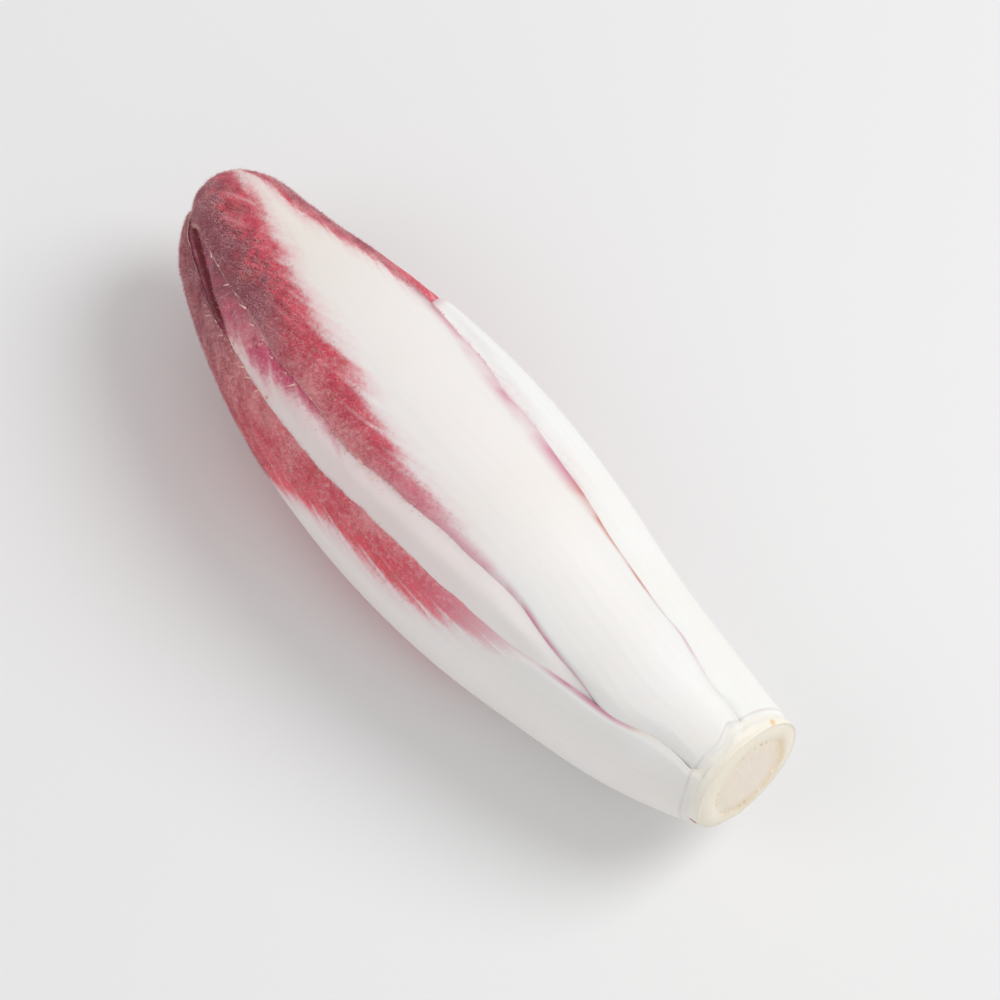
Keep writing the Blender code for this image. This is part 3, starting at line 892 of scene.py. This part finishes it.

# %% [markdown]
# ### The leaf material
# One recipe serves every leaf, with the values of its look: how much bloom lies on it, over
# which part of its length the red comes in, how pale its dye is and how strong the line
# along its margin. It reads the fields stored on the leaf: the distance into the red, the
# distance from the margin, the root of the side vein, the fold and the height above the
# foot. The colours are then laid over one another, as a painter would glaze them.

# %% Dyes of the leaf, with painted shade, reflection and highlight
WHITE = linear(248, 247, 245)
CREAM = linear(241, 234, 221)
# painted reflection: the pink that red leaves nearby would throw on the white
RED_REFLECTION_PINK = linear(238, 220, 219)
# painted shade: the grey of the fine ribs along the white part
PAINTED_RIB_SHADE_WHITE = linear(240, 238, 235)
# painted shade: the dark of the fold beside the front leaf
PAINTED_FOLD_SHADE = linear(112, 18, 28)
WINE = linear(132, 28, 42)
RUSSET = linear(192, 92, 82)
PINK = linear(232, 148, 164)
MAUVE = linear(144, 80, 94)
DUSTY_PINK = linear(244, 170, 172)
SPECK = linear(240, 188, 190)
PALE_VEIN = linear(236, 186, 196)
# painted highlight: light caught by the rounded rim of a red margin
PAINTED_RIM_HIGHLIGHT = linear(240, 190, 182)
SEAM = linear(216, 198, 192)
LINE_DARK = linear(150, 30, 52)
LINE_PINK = linear(216, 134, 158)
LINE_ROSE = linear(232, 148, 172)
LINE_SALMON = linear(214, 132, 118)
LINE_LILAC = linear(206, 120, 152)
LINE_PURPLE = linear(196, 96, 142)
LINE_TAN = linear(226, 206, 178)
DYES = {"crimson": linear(226, 60, 86), "scarlet": linear(244, 76, 94),
        "magenta": linear(208, 72, 112)}
SEAMS = {"pink": LINE_PINK, "salmon": LINE_SALMON}
print("dyes:", ", ".join(DYES), "- seams:", ", ".join(SEAMS))

# %% Leaf material
TIP_PART = (0.085, 0.128)
RIM_HIGHLIGHT_WIDTH = 0.0009
LINE_NARROW, LINE_WIDE, LINE_WIDER_RIGHT = 0.0010, 0.0026, 0.0014
SEAM_HEIGHT, SEAM_WIDTH = 0.0013, 0.0004


def leaf_material(name, look):
    material, shader, tree, place = new_skin(name)
    on_leaf = tree.node("ShaderNodeUVMap", {"uv_map": "UVMap"}).outputs["UV"]
    parts = tree.node("ShaderNodeSeparateXYZ", Vector=on_leaf).outputs
    across, run = parts["X"], parts["Y"]
    red, edge, root, crease, foot = (
        tree.field(field) for field in ("red", "edge", "root", "crease", "foot"))
    veins = tree.group(VEINS, Root=root, Across=across, Place=place)
    bitten = tree.scaled(veins["Main"], -0.0012, red)
    border = tree.group(BORDER, Distance=bitten, Root=root, Across=across, Place=place)

    # How far out on the red blade a point lies, 0 at the border and 1 at the margin
    inward = tree.math("MAXIMUM", red, 0.0)
    whole = tree.math("ADD", tree.math("ADD", inward, edge), 0.0002)
    out = tree.math("DIVIDE", inward, whole)
    near_tip = tree.steps(run, *TIP_PART)
    strength = tree.times(tree.steps(run, *look.fade, 0.0, 1.0 - look.pale),
                          tree.steps(across, 0.004, 0.009, 1.0, look.right))
    amount = tree.scaled(out, 1.05 * look.bloom, -0.22)
    amount = tree.scaled(near_tip, look.dust, amount)
    amount = tree.scaled(tree.steps(run, 0.140, 0.155), 0.30, amount)
    bloom = tree.group(BLOOM, Place=place, Amount=amount)

    # White tissue: cool to warm in broad patches, with faint streaks along the leaf, and a
    # pink tint that is painted reflection of red light from the leaves around it
    patches = tree.noise(place, 38.0)
    streaks = tree.noise(tree.plane(across, run, 900.0, 22.0), 1.0, 3.0)
    blush = tree.steps(run, 0.030, 0.075, 0.3, 1.0)
    white = tree.layers(
        WHITE,
        (tree.steps(patches, 0.35, 0.7, 0.0, 0.30), CREAM),
        (tree.times(near_tip, 0.7), CREAM),
        # painted shade: faint darker streaks where the fine ribs along the white part would
        # shade
        (tree.steps(streaks, 0.45, 0.75, 0.0, 0.35), PAINTED_RIB_SHADE_WHITE),
        # painted reflection: the white tinted pink, more so away from the stem
        (tree.times(blush, look.blush), RED_REFLECTION_PINK))

    # Red blade: bright by the border, then dark, with russet flecks, paler veins and painted
    # shade in the fold
    mottle = tree.swing(place, 560.0, 3.0, 0.75)
    broad = tree.swing(tree.plane(root, across, 220.0, 150.0), 1.0)
    dark = tree.scaled(mottle, 1.5, tree.scaled(broad, 1.1, out))
    darkest = tree.steps(run, 0.095, 0.125, 0.22, 1.0)
    taper = tree.math("SUBTRACT", 1.0, out)
    pale = tree.times(veins["Main"], tree.scaled(taper, 0.40, 0.15))
    pale = tree.math("MAXIMUM", pale, tree.times(veins["Fine"], 0.20))
    pale = tree.math("MAXIMUM", pale, tree.times(veins["Net"], 0.16))
    dusty = tree.layers(DUSTY_PINK, (tree.steps(run, *look.mauve), MAUVE),
                        (tree.times(bloom["Dots"], 0.22), SPECK))
    dull = tree.steps(run, look.mauve[0] - 0.005, look.mauve[1] - 0.003, 0.68, 0.85)
    dye = tree.layers(
        DYES[look.dye],
        (tree.times(tree.steps(dark, 0.05, 0.60), darkest), WINE),
        (tree.steps(tree.noise(place, 240.0), 0.54, 0.70, 0.0, 0.50), RUSSET),
        (tree.times(bloom["Dots"], 0.42), SPECK),
        (pale, PALE_VEIN),
        (tree.times(bloom["Mask"], dull), dusty),
        # painted shade: the second leaf's fold darkened to a deep red, as shade falls in the
        # slit
        (tree.steps(crease, 0.10, 0.6, 0.0, 0.95), PAINTED_FOLD_SHADE))
    dye = tree.mix(tree.steps(strength, 0.1, 0.85), PINK, dye)
    in_red = tree.times(border["Mask"], tree.steps(strength, -0.05, 0.5))

    # Margin: a line of dye where the leaf is white, a pale band where it is red that is a
    # painted highlight on the rounded rim, and a seam where the leaf rises from the stem
    patchy = tree.steps(tree.noise(on_leaf, 95.0), 0.35, 0.55, 0.35, 1.0)
    on_right = tree.math("GREATER_THAN", across, 0.0)
    reach = tree.scaled(tree.steps(run, 0.045, 0.064, 0.0, LINE_WIDER_RIGHT), on_right,
                        tree.steps(run, 0.034, 0.056, LINE_NARROW, LINE_WIDE))
    line = tree.times(
        tree.steps(edge, 0.0001, reach, 1.0, 0.0), patchy,
        tree.math("SUBTRACT", 1.0, in_red), tree.steps(run, 0.028, 0.036, *look.line),
        tree.steps(run, 0.006, 0.020, 0.15, 1.0))
    right = tree.bands(run, LINE_TAN, (0.014, 0.019, LINE_LILAC),
                       (0.028, 0.034, SEAMS[look.seam]), (0.050, 0.058, LINE_PINK),
                       (0.092, 0.100, LINE_DARK))
    left = tree.bands(run, LINE_TAN, (0.014, 0.020, LINE_PURPLE), (0.026, 0.036, LINE_ROSE))
    rim_highlight = tree.times(tree.steps(edge, 0.0001, RIM_HIGHLIGHT_WIDTH, 1.0, 0.0), in_red, patchy)
    from_seam = tree.math("ABSOLUTE", tree.math("SUBTRACT", foot, SEAM_HEIGHT))
    seam = tree.steps(from_seam, 0.0, SEAM_WIDTH, 1.0, 0.0)

    # All of them together: white, a pink haze under the feathered red, and the margin
    colour = tree.layers(
        white,
        (tree.times(border["Haze"], strength, 0.50), PINK),
        (in_red, dye),
        (tree.times(line, 0.80), tree.mix(on_right, left, right)),
        # painted highlight along the rims of the red margins
        (tree.times(rim_highlight, 0.80), PAINTED_RIM_HIGHLIGHT),
        (tree.times(seam, patchy, 0.5), SEAM))
    relief = tree.times(bloom["Grain"], tree.scaled(in_red, 0.85, 0.03))
    relief = tree.scaled(tree.times(veins["Net"], in_red), 0.25, relief)
    relief = tree.scaled(tree.times(veins["Main"], in_red), 0.30, relief)
    relief = tree.scaled(streaks, 0.15, relief)
    tree.feed(shader, {
        "Base Color": colour,
        "Roughness": tree.scaled(mottle, 0.25, tree.scaled(in_red, 0.10, 0.42)),
        "Specular IOR Level": 0.40,
        "Subsurface Weight": 0.12,
        "Subsurface Radius": (1.0, 0.55, 0.45),
        "Subsurface Scale": 0.0016,
        "Normal": tree.bump(relief, 0.35, 0.00020)})
    return material


# %% [markdown]
# ## Growing the leaves
# With the outline, the relief, the nesting and the material in hand, the leaves are grown
# one after another. Each gets as many rows and columns as its place calls for: about half
# a millimetre apart on the outside, 1.4 mm where other leaves hide it. The rows draw closer
# towards the tip. The foot of a leaf sinks into the stem it grows from.

# %% Grow every leaf
FOOT_SINK, FOOT_BLEND = 0.0006, 0.0016
HAIR_ROOM = 0.0009
CROWDING = 0.12


def room_for_hair(places):
    """0 next to the frame's box, 1 well inside it."""
    near = np.minimum(places - CAD_LOW, CAD_HIGH - places).min(axis=-1)
    return smooth_step(HAIR_ROOM, 2 * HAIR_ROOM, near)


def grow(leaf, bed):
    """The mesh of one leaf, lying on its bed."""
    rows = int((leaf.tip - leaf.foot[0][1]) / leaf.fine)
    columns = int(2 * max(width for _, width in leaf.widths) / leaf.fine)
    step = np.linspace(0, 1, rows)
    crowded = step * (1 + CROWDING - CROWDING * step)
    share, side = np.meshgrid(crowded, np.linspace(-1, 1, columns), indexing="ij")
    relief = leaf_relief(leaf, share, side)
    run, across = leaf_place(leaf, share, side)
    above_foot = run - foot_run(leaf, side)
    sink = FOOT_SINK * (1 - smooth_step(0, FOOT_BLEND, above_foot))
    base = bed.base_depth(share, side) + sink
    wall = np.maximum(thickness(share, side), relief.cut + THINNEST)
    head_run, turn = from_leaf(leaf, run, across)
    outer = point(head_run, turn, base + relief.cut)
    inner = point(head_run, turn, base + wall)
    uv = np.stack([across * barrel_radius(run), run], axis=-1)
    fields = {"red": relief.red, "edge": relief.edge, "root": relief.root,
              "crease": relief.crease, "foot": relief.foot,
              "hair": relief.hair * (1 - relief.crease) * room_for_hair(outer)}
    return shell(outer, inner, fields, uv, "%s_blade" % leaf.name)


table = DepthTable()
by_name = {leaf.name: leaf for leaf in LEAVES}
grown, beds = {}, {}
triangles = 0
for leaf in LEAVES:
    beds[leaf.name] = bed = LeafBed(leaf, table)
    skin = leaf_material("%s_skin" % leaf.name, leaf.look)
    grown[leaf.name] = keep(grow(leaf, bed), skin, leaf.slot, leaf.name)
    cover(table, bed)
    triangles += sum(len(face.vertices) - 2 for face in grown[leaf.name].data.polygons)
print("leaves grown, triangles:", triangles)

# %% [markdown]
# ## Hairs and teeth
# The young red blade is downy, and its margin carries small soft teeth. Placing thousands
# of hairs by hand is hopeless, and particles would be lost when the head is exported, so a
# Geometry Nodes tree scatters slim cones over the blade. Their number follows the hair
# field: none on white tissue, none on the inside. They are turned into a plain mesh.

# %% Helpers for Geometry Nodes trees
CONE_INPUTS = (
    ("Sides", INTEGER, 3), ("Length", FLOAT, 0.0006), ("Width", FLOAT, 0.00008),
    ("Blunt", FLOAT, 0.0), ("Lean", FLOAT, 0.8), ("Seed", INTEGER, 3),
    ("Material", MATERIAL, None),
)


def new_cone_tree(name, *inputs):
    """A Geometry Nodes tree that sets cones, with some inputs of its own."""
    return new_group("GeometryNodeTree", name, (("Geometry", GEOMETRY, None),) + inputs
                     + CONE_INPUTS, (("Geometry", GEOMETRY),))


def random_value(tree, kind, low, high, seed):
    made = tree.node("FunctionNodeRandomValue", {"data_type": kind}, Seed=seed)
    first = {"FLOAT_VECTOR": 0, "FLOAT": 2}[kind]
    tree.put(made.inputs[first], low)
    tree.put(made.inputs[first + 1], high)
    return made.outputs[first // 2]


def any_way(tree, seed):
    return random_value(tree, "FLOAT_VECTOR", (-1, -1, -1), (1, 1, 1), seed)


def set_cones(tree, take, points, rotation):
    """Lean cones over at random on points, and return them as a finished mesh."""
    cone = tree.node(
        "GeometryNodeMeshCone", {"fill_type": "TRIANGLE_FAN"}, Vertices=take["Sides"],
        Radius_Top=tree.times(take["Width"], take["Blunt"], 0.5),
        Radius_Bottom=tree.times(take["Width"], 0.5), Depth=take["Length"])
    lean = tree.node("ShaderNodeCombineXYZ", X=take["Lean"], Y=take["Lean"], Z=3.0)
    lean = tree.vector("MULTIPLY", lean.outputs[0], any_way(tree, take["Seed"]))
    lean = tree.node("FunctionNodeEulerToRotation", Euler=lean).outputs[0]
    turned = tree.node("FunctionNodeRotateRotation", {"rotation_space": "LOCAL"},
                       Rotation=rotation, Rotate_By=lean).outputs[0]
    size = random_value(tree, "FLOAT", 0.5, 1.3, take["Seed"])
    placed = tree.node("GeometryNodeInstanceOnPoints", Points=points,
                       Instance=cone.outputs["Mesh"], Rotation=turned, Scale=size)
    real = tree.node("GeometryNodeRealizeInstances", Geometry=placed.outputs[0])
    return tree.node("GeometryNodeSetMaterial", Geometry=real.outputs[0],
                     Material=take["Material"]).outputs[0]


def run_tree(name, mesh, group, values):
    """Run a Geometry Nodes tree on a mesh and keep the result as a plain mesh."""
    holder = add_object(name, mesh)
    modifier = holder.modifiers.new(name, "NODES")
    modifier.node_group = group
    for socket in group.interface.items_tree:
        if socket.name in values:
            modifier[socket.identifier] = values[socket.name]
    depsgraph = bpy.context.evaluated_depsgraph_get()
    finished = holder.evaluated_get(depsgraph)
    made = bpy.data.meshes.new_from_object(finished, depsgraph=depsgraph)
    made.name = name
    holder.modifiers.remove(modifier)
    bpy.data.objects.remove(holder)
    return made


def speckled_material(name, first, second, rough):
    """A plain skin that wavers between two colours."""
    material, shader, tree, place = new_skin(name)
    share = tree.steps(tree.noise(place, 300.0), 0.4, 0.6)
    tree.feed(shader, {"Base Color": tree.mix(share, first, second), "Roughness": rough})
    return material


# %% Hairs on the red blades
def hair_group():
    group, tree, take, give = new_cone_tree("hairs", ("Density", FLOAT, 1.0e7))
    hair = tree.node("GeometryNodeInputNamedAttribute", {"data_type": "FLOAT"}, Name="hair")
    points = tree.node(
        "GeometryNodeDistributePointsOnFaces", Mesh=take["Geometry"],
        Density=tree.times(take["Density"], hair.outputs["Attribute"]), Seed=take["Seed"])
    cones = set_cones(tree, take, points.outputs["Points"], points.outputs["Rotation"])
    tree.put(give["Geometry"], cones)
    return group


HAIRS = hair_group()
HAIR_LENGTH, HAIR_WIDTH, HAIR_LEAN = 0.00055, 0.00007, 1.1
HAIR_SKIN = speckled_material("hair_skin", linear(230, 176, 180), linear(198, 122, 134), 0.5)
for name, density, seed in (
    ("outer_leaf_top", 1.5e7, 11), ("outer_leaf_front", 1.2e7, 12),
    ("second_leaf_front", 5.0e6, 13), ("outer_leaf_under", 4.0e6, 14),
):
    settings = {"Density": density, "Seed": seed, "Lean": HAIR_LEAN, "Length": HAIR_LENGTH,
                "Width": HAIR_WIDTH, "Material": HAIR_SKIN}
    hairs = run_tree("%s_hairs" % name, grown[name].data, HAIRS, settings)
    keep(hairs, HAIR_SKIN, by_name[name].slot)
    print(name, "hairs:", len(hairs.polygons) // 4)

# %% [markdown]
# Teeth stand in a row, so their tree follows a path: the margin's own line is spread with
# evenly spaced points, each is nudged a little, and a small cone is set on it, leaning out.

# %% Teeth along two margins
def path_group():
    group, tree, take, give = new_cone_tree(
        "cones_on_path", ("Count", INTEGER, 8), ("Nudge", FLOAT, 0.0),
        ("Axis", VECTOR, (0.0, 0.0, 1.0)))
    curve = tree.node("GeometryNodeMeshToCurve", Mesh=take["Geometry"])
    points = tree.node("GeometryNodeCurveToPoints", {"mode": "COUNT"},
                       Curve=curve.outputs[0], Count=take["Count"])
    nudge = tree.node("ShaderNodeVectorMath", {"operation": "SCALE"},
                      Vector=any_way(tree, take["Seed"]), Scale=take["Nudge"])
    moved = tree.node("GeometryNodeSetPosition", Geometry=points.outputs["Points"],
                      Offset=nudge.outputs[0])
    aimed = tree.node("FunctionNodeAlignRotationToVector", {"axis": "Z"},
                      Vector=take["Axis"]).outputs[0]
    tree.put(give["Geometry"], set_cones(tree, take, moved.outputs[0], aimed))
    return group


def path_mesh(name, places, closed=False):
    count = len(places)
    edges = [(k, (k + 1) % count) for k in range(count if closed else count - 1)]
    mesh = bpy.data.meshes.new(name)
    mesh.from_pydata([tuple(place) for place in places], edges, [])
    return mesh


def margin_line(name, side, low, high):
    """Points along a leaf's margin between two runs, just below its outer face."""
    leaf = by_name[name]
    run = np.linspace(low, high, 60)
    share = (run - foot_run(leaf, side)) / (blade_end(leaf, side) - foot_run(leaf, side))
    flat = np.full_like(share, side)
    run, across = leaf_place(leaf, share, flat)
    head_run, turn = from_leaf(leaf, run, across)
    return point(head_run, turn, beds[name].base_depth(share, flat) + TOOTH_SINK)


PATHS = path_group()
TOOTH_SINK = 0.0001
TOOTH = {"Nudge": 0.0004, "Lean": 0.9, "Length": 0.0014, "Width": 0.0004, "Sides": 5}
TIPWARD = 0.02
TOOTH_SKIN = speckled_material("tooth_skin", linear(244, 214, 196), linear(236, 184, 178), 0.5)
for name, side, low, high, count, seed in (
    ("outer_leaf_top", -1.0, 0.076, 0.132, 16, 21),
    ("outer_leaf_front", 1.0, 0.100, 0.126, 11, 22),
):
    line = margin_line(name, side, low, high)
    outward = line.mean(axis=0) - np.array([line[:, 0].mean() - TIPWARD, *SHIFT[1:]])
    settings = {"Count": count, "Seed": seed, "Axis": tuple(outward),
                "Material": TOOTH_SKIN, **TOOTH}
    teeth = run_tree("%s_teeth" % name, path_mesh("path", line), PATHS, settings)
    keep(teeth, TOOTH_SKIN, by_name[name].slot)
    print(name, "teeth:", count)

# %% [markdown]
# ## The stem
# The stem is a short cone, cut across where the head was taken from its root. Leaf bases
# end in a notched line round it. The cut is dry and faintly domed, beige in the middle,
# with a tan ring where the vessels were. It is one loft of rings that follows the leaves
# above it, down to the heart, which is a bud of small leaves grown together.

# %% Stem and heart
STEM_SIDES = 160
CUT_EDGE = 0.0009
STUMP_INSET = 0.00006
LEAN_UP, LEAN_SIDE, LEAN_MIDDLE, LEAN_END = 0.11, 0.08, 0.0013, 0.0037
CUT_RINGS = (0.12, 0.25, 0.38, 0.50, 0.60, 0.66, 0.70, 0.78, 0.85, 0.91, 0.955, 0.985)
GROOVE_PLACE, GROOVE_WIDTH, GROOVE_DEPTH = 0.67, 0.035, 0.00022
ROUND_FROM = 0.78
DIMPLE_DEPTH, CUT_GRAIN = 0.00010, 0.00007
STUMP_PART, STUMP_REACH, STUMP_SWING = (0.006, 0.014), 0.0030, 0.10
HEART_PART, HEART_LEAVES, HEART_STEP = (0.05, 0.08), 3, 0.0006


def stem_depth(run, turn):
    """Below the deepest leaf near each point, with the heart's small leaves in it."""
    reach = np.interp(run, STUMP_PART, (0.0, STUMP_REACH))
    swing = np.interp(run, STUMP_PART, (0.0, STUMP_SWING))
    deepest = np.zeros_like(run)
    for along in np.linspace(-1, 1, 5):
        for around in np.linspace(-1, 1, 5):
            near = np.clip(run + along * reach, 0, POLE_RUN)
            deepest = np.maximum(deepest, table.read(near, turn + around * swing))
    heart = np.mod(HEART_LEAVES * turn / (2 * math.pi) + run / LENGTH, 1.0)
    return deepest + STUMP_INSET + HEART_STEP * heart * smooth_step(*HEART_PART, run)


def cut_rise(places):
    """How far the slanting cut lies inwards of the lowest point of its edge."""
    y = places[..., 1] - SHIFT[1]
    z = places[..., 2] - SHIFT[2]
    return np.maximum(LEAN_MIDDLE + LEAN_UP * z - LEAN_SIDE * y, 0.0)


def cut_face(edge):
    """Rings of the cut face, from its middle out to its rounded edge."""
    middle = edge.mean(axis=0)
    flat_share = 1 - CUT_EDGE / LEAN_END
    rings = []
    for share in CUT_RINGS:
        ring = middle + (edge - middle) * share
        fall = CUT_EDGE * max(0.0, (share - ROUND_FROM) / (1 - ROUND_FROM)) ** 2
        groove = GROOVE_DEPTH * math.exp(-((share - GROOVE_PLACE) / GROOVE_WIDTH) ** 2)
        grain = CUT_GRAIN * soft_noise(ring[:, 1] * 900, ring[:, 2] * 900, 6)
        rise = cut_rise(ring) * (1 - (1 - flat_share) * (fall / CUT_EDGE))
        ring[:, 0] = CAD_LOW[0] + rise + fall + groove + np.abs(grain)
        rings.append(ring)
    return rings


def stem_mesh():
    runs = np.concatenate([
        np.linspace(CUT_EDGE, 0.0070, 22), np.linspace(0.0080, POLE_RUN - 0.0012, 70)
    ])
    turns = np.arange(STEM_SIDES) * 2 * math.pi / STEM_SIDES
    run, turn = np.meshgrid(runs, turns, indexing="ij")
    dimple = DIMPLE_DEPTH * soft_noise(turn * 14 / math.pi, run * 500, 9)
    wall = point(run, turn, stem_depth(run, turn) + np.abs(dimple))
    wall[:, :, 0] += cut_rise(wall) * np.clip(1 - run / LEAN_END, 0, 1)
    rings = cut_face(wall[0]) + list(wall)
    bm = bmesh.new()
    loops = [[bm.verts.new(place) for place in ring] for ring in rings]
    for low, high in zip(loops, loops[1:]):
        for k in range(STEM_SIDES):
            after = (k + 1) % STEM_SIDES
            bm.faces.new((low[k], low[after], high[after], high[k]))
    for loop in (loops[0], loops[-1]):
        centre = bm.verts.new(np.mean([vert.co for vert in loop], axis=0))
        for k in range(STEM_SIDES):
            bm.faces.new((loop[k], loop[(k + 1) % STEM_SIDES], centre))
    bmesh.ops.recalc_face_normals(bm, faces=bm.faces)
    mesh = bpy.data.meshes.new("stem_and_heart_body")
    bm.to_mesh(mesh)
    bm.free()
    mesh.shade_smooth()
    return mesh


# %% Stem material
CUT_CENTRE = np.array([CAD_LOW[0], SHIFT[1], SHIFT[2]])
CUT_RADIUS = round_radius(np.zeros(1))[0]


CUT_SPOTS = (
    ((0.0033, -0.0062, 0.0098), linear(238, 198, 140)),
    ((0.0019, 0.0116, -0.0028), linear(168, 74, 60)),
)
TAN = linear(236, 213, 178)


def stem_material():
    material, shader, tree, place = new_skin("stem_skin")
    centred = tree.vector("SUBTRACT", place, tuple(CUT_CENTRE))
    parts = tree.node("ShaderNodeSeparateXYZ", Vector=centred).outputs
    y, z = parts["Y"], parts["Z"]
    from_axis = tree.math("SQRT", tree.math("ADD", tree.times(y, y), tree.times(z, z)))
    wobble = tree.swing(place, 260.0, 3.0)
    from_axis = tree.scaled(wobble, 0.0022, from_axis)
    rise = tree.scaled(y, -LEAN_SIDE, tree.scaled(z, LEAN_UP, LEAN_MIDDLE))
    on_cut = tree.steps(tree.math("SUBTRACT", parts["X"], rise), 0.0005, 0.0014, 1.0, 0.0)

    skin, rim, pith = (
        tree.mix(tree.noise(place, scale, detail), linear(*first), linear(*second))
        for scale, detail, first, second in (
            (90.0, 2.0, (249, 246, 240), (245, 239, 226)),
            (300.0, 3.0, (249, 243, 230), (245, 236, 216)),
            (500.0, 3.0, (246, 236, 224), (242, 228, 210))))
    inside = tree.steps(from_axis, CUT_RADIUS * 0.52, CUT_RADIUS * 0.70, 1.0, 0.0)
    ring = tree.math("ABSOLUTE", tree.math("SUBTRACT", from_axis, CUT_RADIUS * 0.66))
    ring = tree.steps(ring, 0.0004, 0.0026, 1.0, 0.0)
    patchy = tree.steps(tree.noise(place, 150.0), 0.35, 0.60, 0.25, 0.80)
    low_side = tree.steps(tree.math("ADD", y, z), 0.006, -0.006, 0.25, 0.9)
    colour = tree.layers(skin, (on_cut, rim), (tree.times(inside, on_cut), pith),
                         (tree.times(ring, patchy, low_side, on_cut), TAN))
    for spot, tint in CUT_SPOTS:
        from_spot = tree.node("ShaderNodeVectorMath", {"operation": "DISTANCE"})
        tree.put(from_spot.inputs[0], centred)
        tree.put(from_spot.inputs[1], spot)
        near = tree.scaled(wobble, 0.0008, from_spot.outputs["Value"])
        colour = tree.mix(tree.steps(near, 0.0002, 0.0010, 0.85, 0.0), colour, tint)

    grain = tree.noise(place, 1400.0, 3.0, 0.6)
    tree.feed(shader, {
        "Base Color": colour,
        "Roughness": tree.steps(grain, 0.3, 0.7, 0.42, 0.62),
        "Subsurface Weight": 0.10,
        "Subsurface Radius": (1.0, 0.7, 0.5),
        "Subsurface Scale": 0.0014,
        "Normal": tree.bump(grain, 0.4, 0.00015)})
    return material


keep(stem_mesh(), stem_material(), "stem", "stem_and_heart")
print("stem made; cut radius in mm:", round(CUT_RADIUS * 1000, 1))

# %% [markdown]
# On the cut, the vessel bundles that fed the leaves stand in a ring, each a low blunt dot a
# little firmer than the pith round it. The tree that sets teeth on a margin serves again,
# with short cut-off cones on a closed path.

# %% Ring of vessel bundles
BUNDLES = 34
BUNDLE_RING, BUNDLE_ASIDE, BUNDLE_SINK = 0.0074, 0.0002, 0.00026
BUNDLE = {"Nudge": 0.00012, "Lean": 0.15, "Length": 0.00012, "Width": 0.0008, "Sides": 8,
          "Blunt": 0.6}


def bundle_ring():
    around = np.arange(72) * 2 * math.pi / 72
    y = SHIFT[1] + BUNDLE_ASIDE + BUNDLE_RING * np.cos(around)
    z = SHIFT[2] + BUNDLE_RING * np.sin(around)
    places = np.stack([np.zeros_like(y), y, z], axis=-1)
    places[:, 0] = CAD_LOW[0] + cut_rise(places) + BUNDLE_SINK
    return path_mesh("path", places, closed=True)


BUNDLE_SKIN = speckled_material(
    "bundle_skin", linear(246, 234, 214), linear(242, 224, 196), 0.6)
bundle_settings = {"Count": BUNDLES, "Axis": (-1.0, -LEAN_SIDE, LEAN_UP), "Seed": 31,
                   "Material": BUNDLE_SKIN, **BUNDLE}
bundles = run_tree("stem_bundles", bundle_ring(), PATHS, bundle_settings)
keep(bundles, BUNDLE_SKIN, "stem")
print("bundles on the cut:", BUNDLES)

# %% [markdown]
# ## Floor, light and camera
# A pale floor and broad soft lamps, as in a product picture. The main lamp stands high on
# the cut's side, so the tip and the near flank of the head fall into a gentle grey. The
# camera looks down steeply from the cut's side, through a long lens.

# %% Floor
FLOOR_SIZE, FLOOR_WHITE = 6.0, (0.88, 0.88, 0.88, 1)


def make_floor():
    bm = bmesh.new()
    bmesh.ops.create_grid(bm, x_segments=2, y_segments=2, size=FLOOR_SIZE)
    mesh = bpy.data.meshes.new("floor")
    bm.to_mesh(mesh)
    bm.free()
    material, shader, tree, _ = new_skin("floor_paper")
    tree.feed(shader, {"Base Color": FLOOR_WHITE, "Roughness": 0.9,
                       "Specular IOR Level": 0.1})
    mesh.materials.append(material)
    add_object("floor", mesh)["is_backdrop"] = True


make_floor()

# %% Lamps and world
VIEW_SWING = math.radians(38.6)
VIEW_DROP = math.radians(61.5)

away = np.array([math.cos(VIEW_SWING), -math.sin(VIEW_SWING), 0.0])
up = np.array([0.0, 0.0, 1.0])
forward = math.cos(VIEW_DROP) * away - math.sin(VIEW_DROP) * up
to_right = np.array([away[1], -away[0], 0.0])
to_top = np.cross(to_right, forward)


def aim(item, direction, top):
    """Point an object's -Z along a direction, with its Y towards top."""
    back = -direction / np.linalg.norm(direction)
    side = np.cross(top, back)
    side = side / np.linalg.norm(side)
    matrix = np.eye(4)
    matrix[:3, 0] = side
    matrix[:3, 1] = np.cross(back, side)
    matrix[:3, 2] = back
    matrix[:3, 3] = item.location
    item.matrix_world = Matrix(matrix.tolist())


def soft_lamp(name, place, size, watts):
    data = bpy.data.lights.new(name, "AREA")
    data.shape = "DISK"
    data.size = size
    data.energy = watts
    lamp = add_object(name, data)
    lamp.location = place
    aim(lamp, -np.array(place), to_top)


for name, (right, off, high), size, watts in (
    ("key_lamp", (0.75, 0.10, 0.85), 0.7, 6.0),
    ("fill_lamp", (-0.9, -0.3, 0.9), 0.9, 1.9),
):
    soft_lamp(name, right * to_right + off * away + high * up, size, watts)
    print(name, watts, "W")

WORLD_LIGHT = 0.55
world = bpy.data.worlds.new("studio")
bpy.context.scene.world = world
world.use_nodes = True
background = world.node_tree.nodes["Background"]
background.inputs["Color"].default_value = (1.0, 1.0, 1.0, 1.0)
background.inputs["Strength"].default_value = WORLD_LIGHT
bpy.context.scene.view_settings.view_transform = "Standard"

# %% Camera
VIEW_DISTANCE = 0.645
VIEW_ASIDE, VIEW_BELOW = 0.0089, 0.0022
LENS, SENSOR = 135.5, 36.0


def make_camera():
    centre = np.array([0.0, 0.0, REST_HEIGHT])
    aside = VIEW_ASIDE * to_right - VIEW_BELOW * to_top
    data = bpy.data.cameras.new("camera")
    data.sensor_width = SENSOR
    data.lens = LENS
    data.clip_start = 0.01
    camera = add_object("camera", data)
    camera.location = centre + aside - forward * VIEW_DISTANCE
    aim(camera, forward, to_top)
    bpy.context.scene.camera = camera


make_camera()
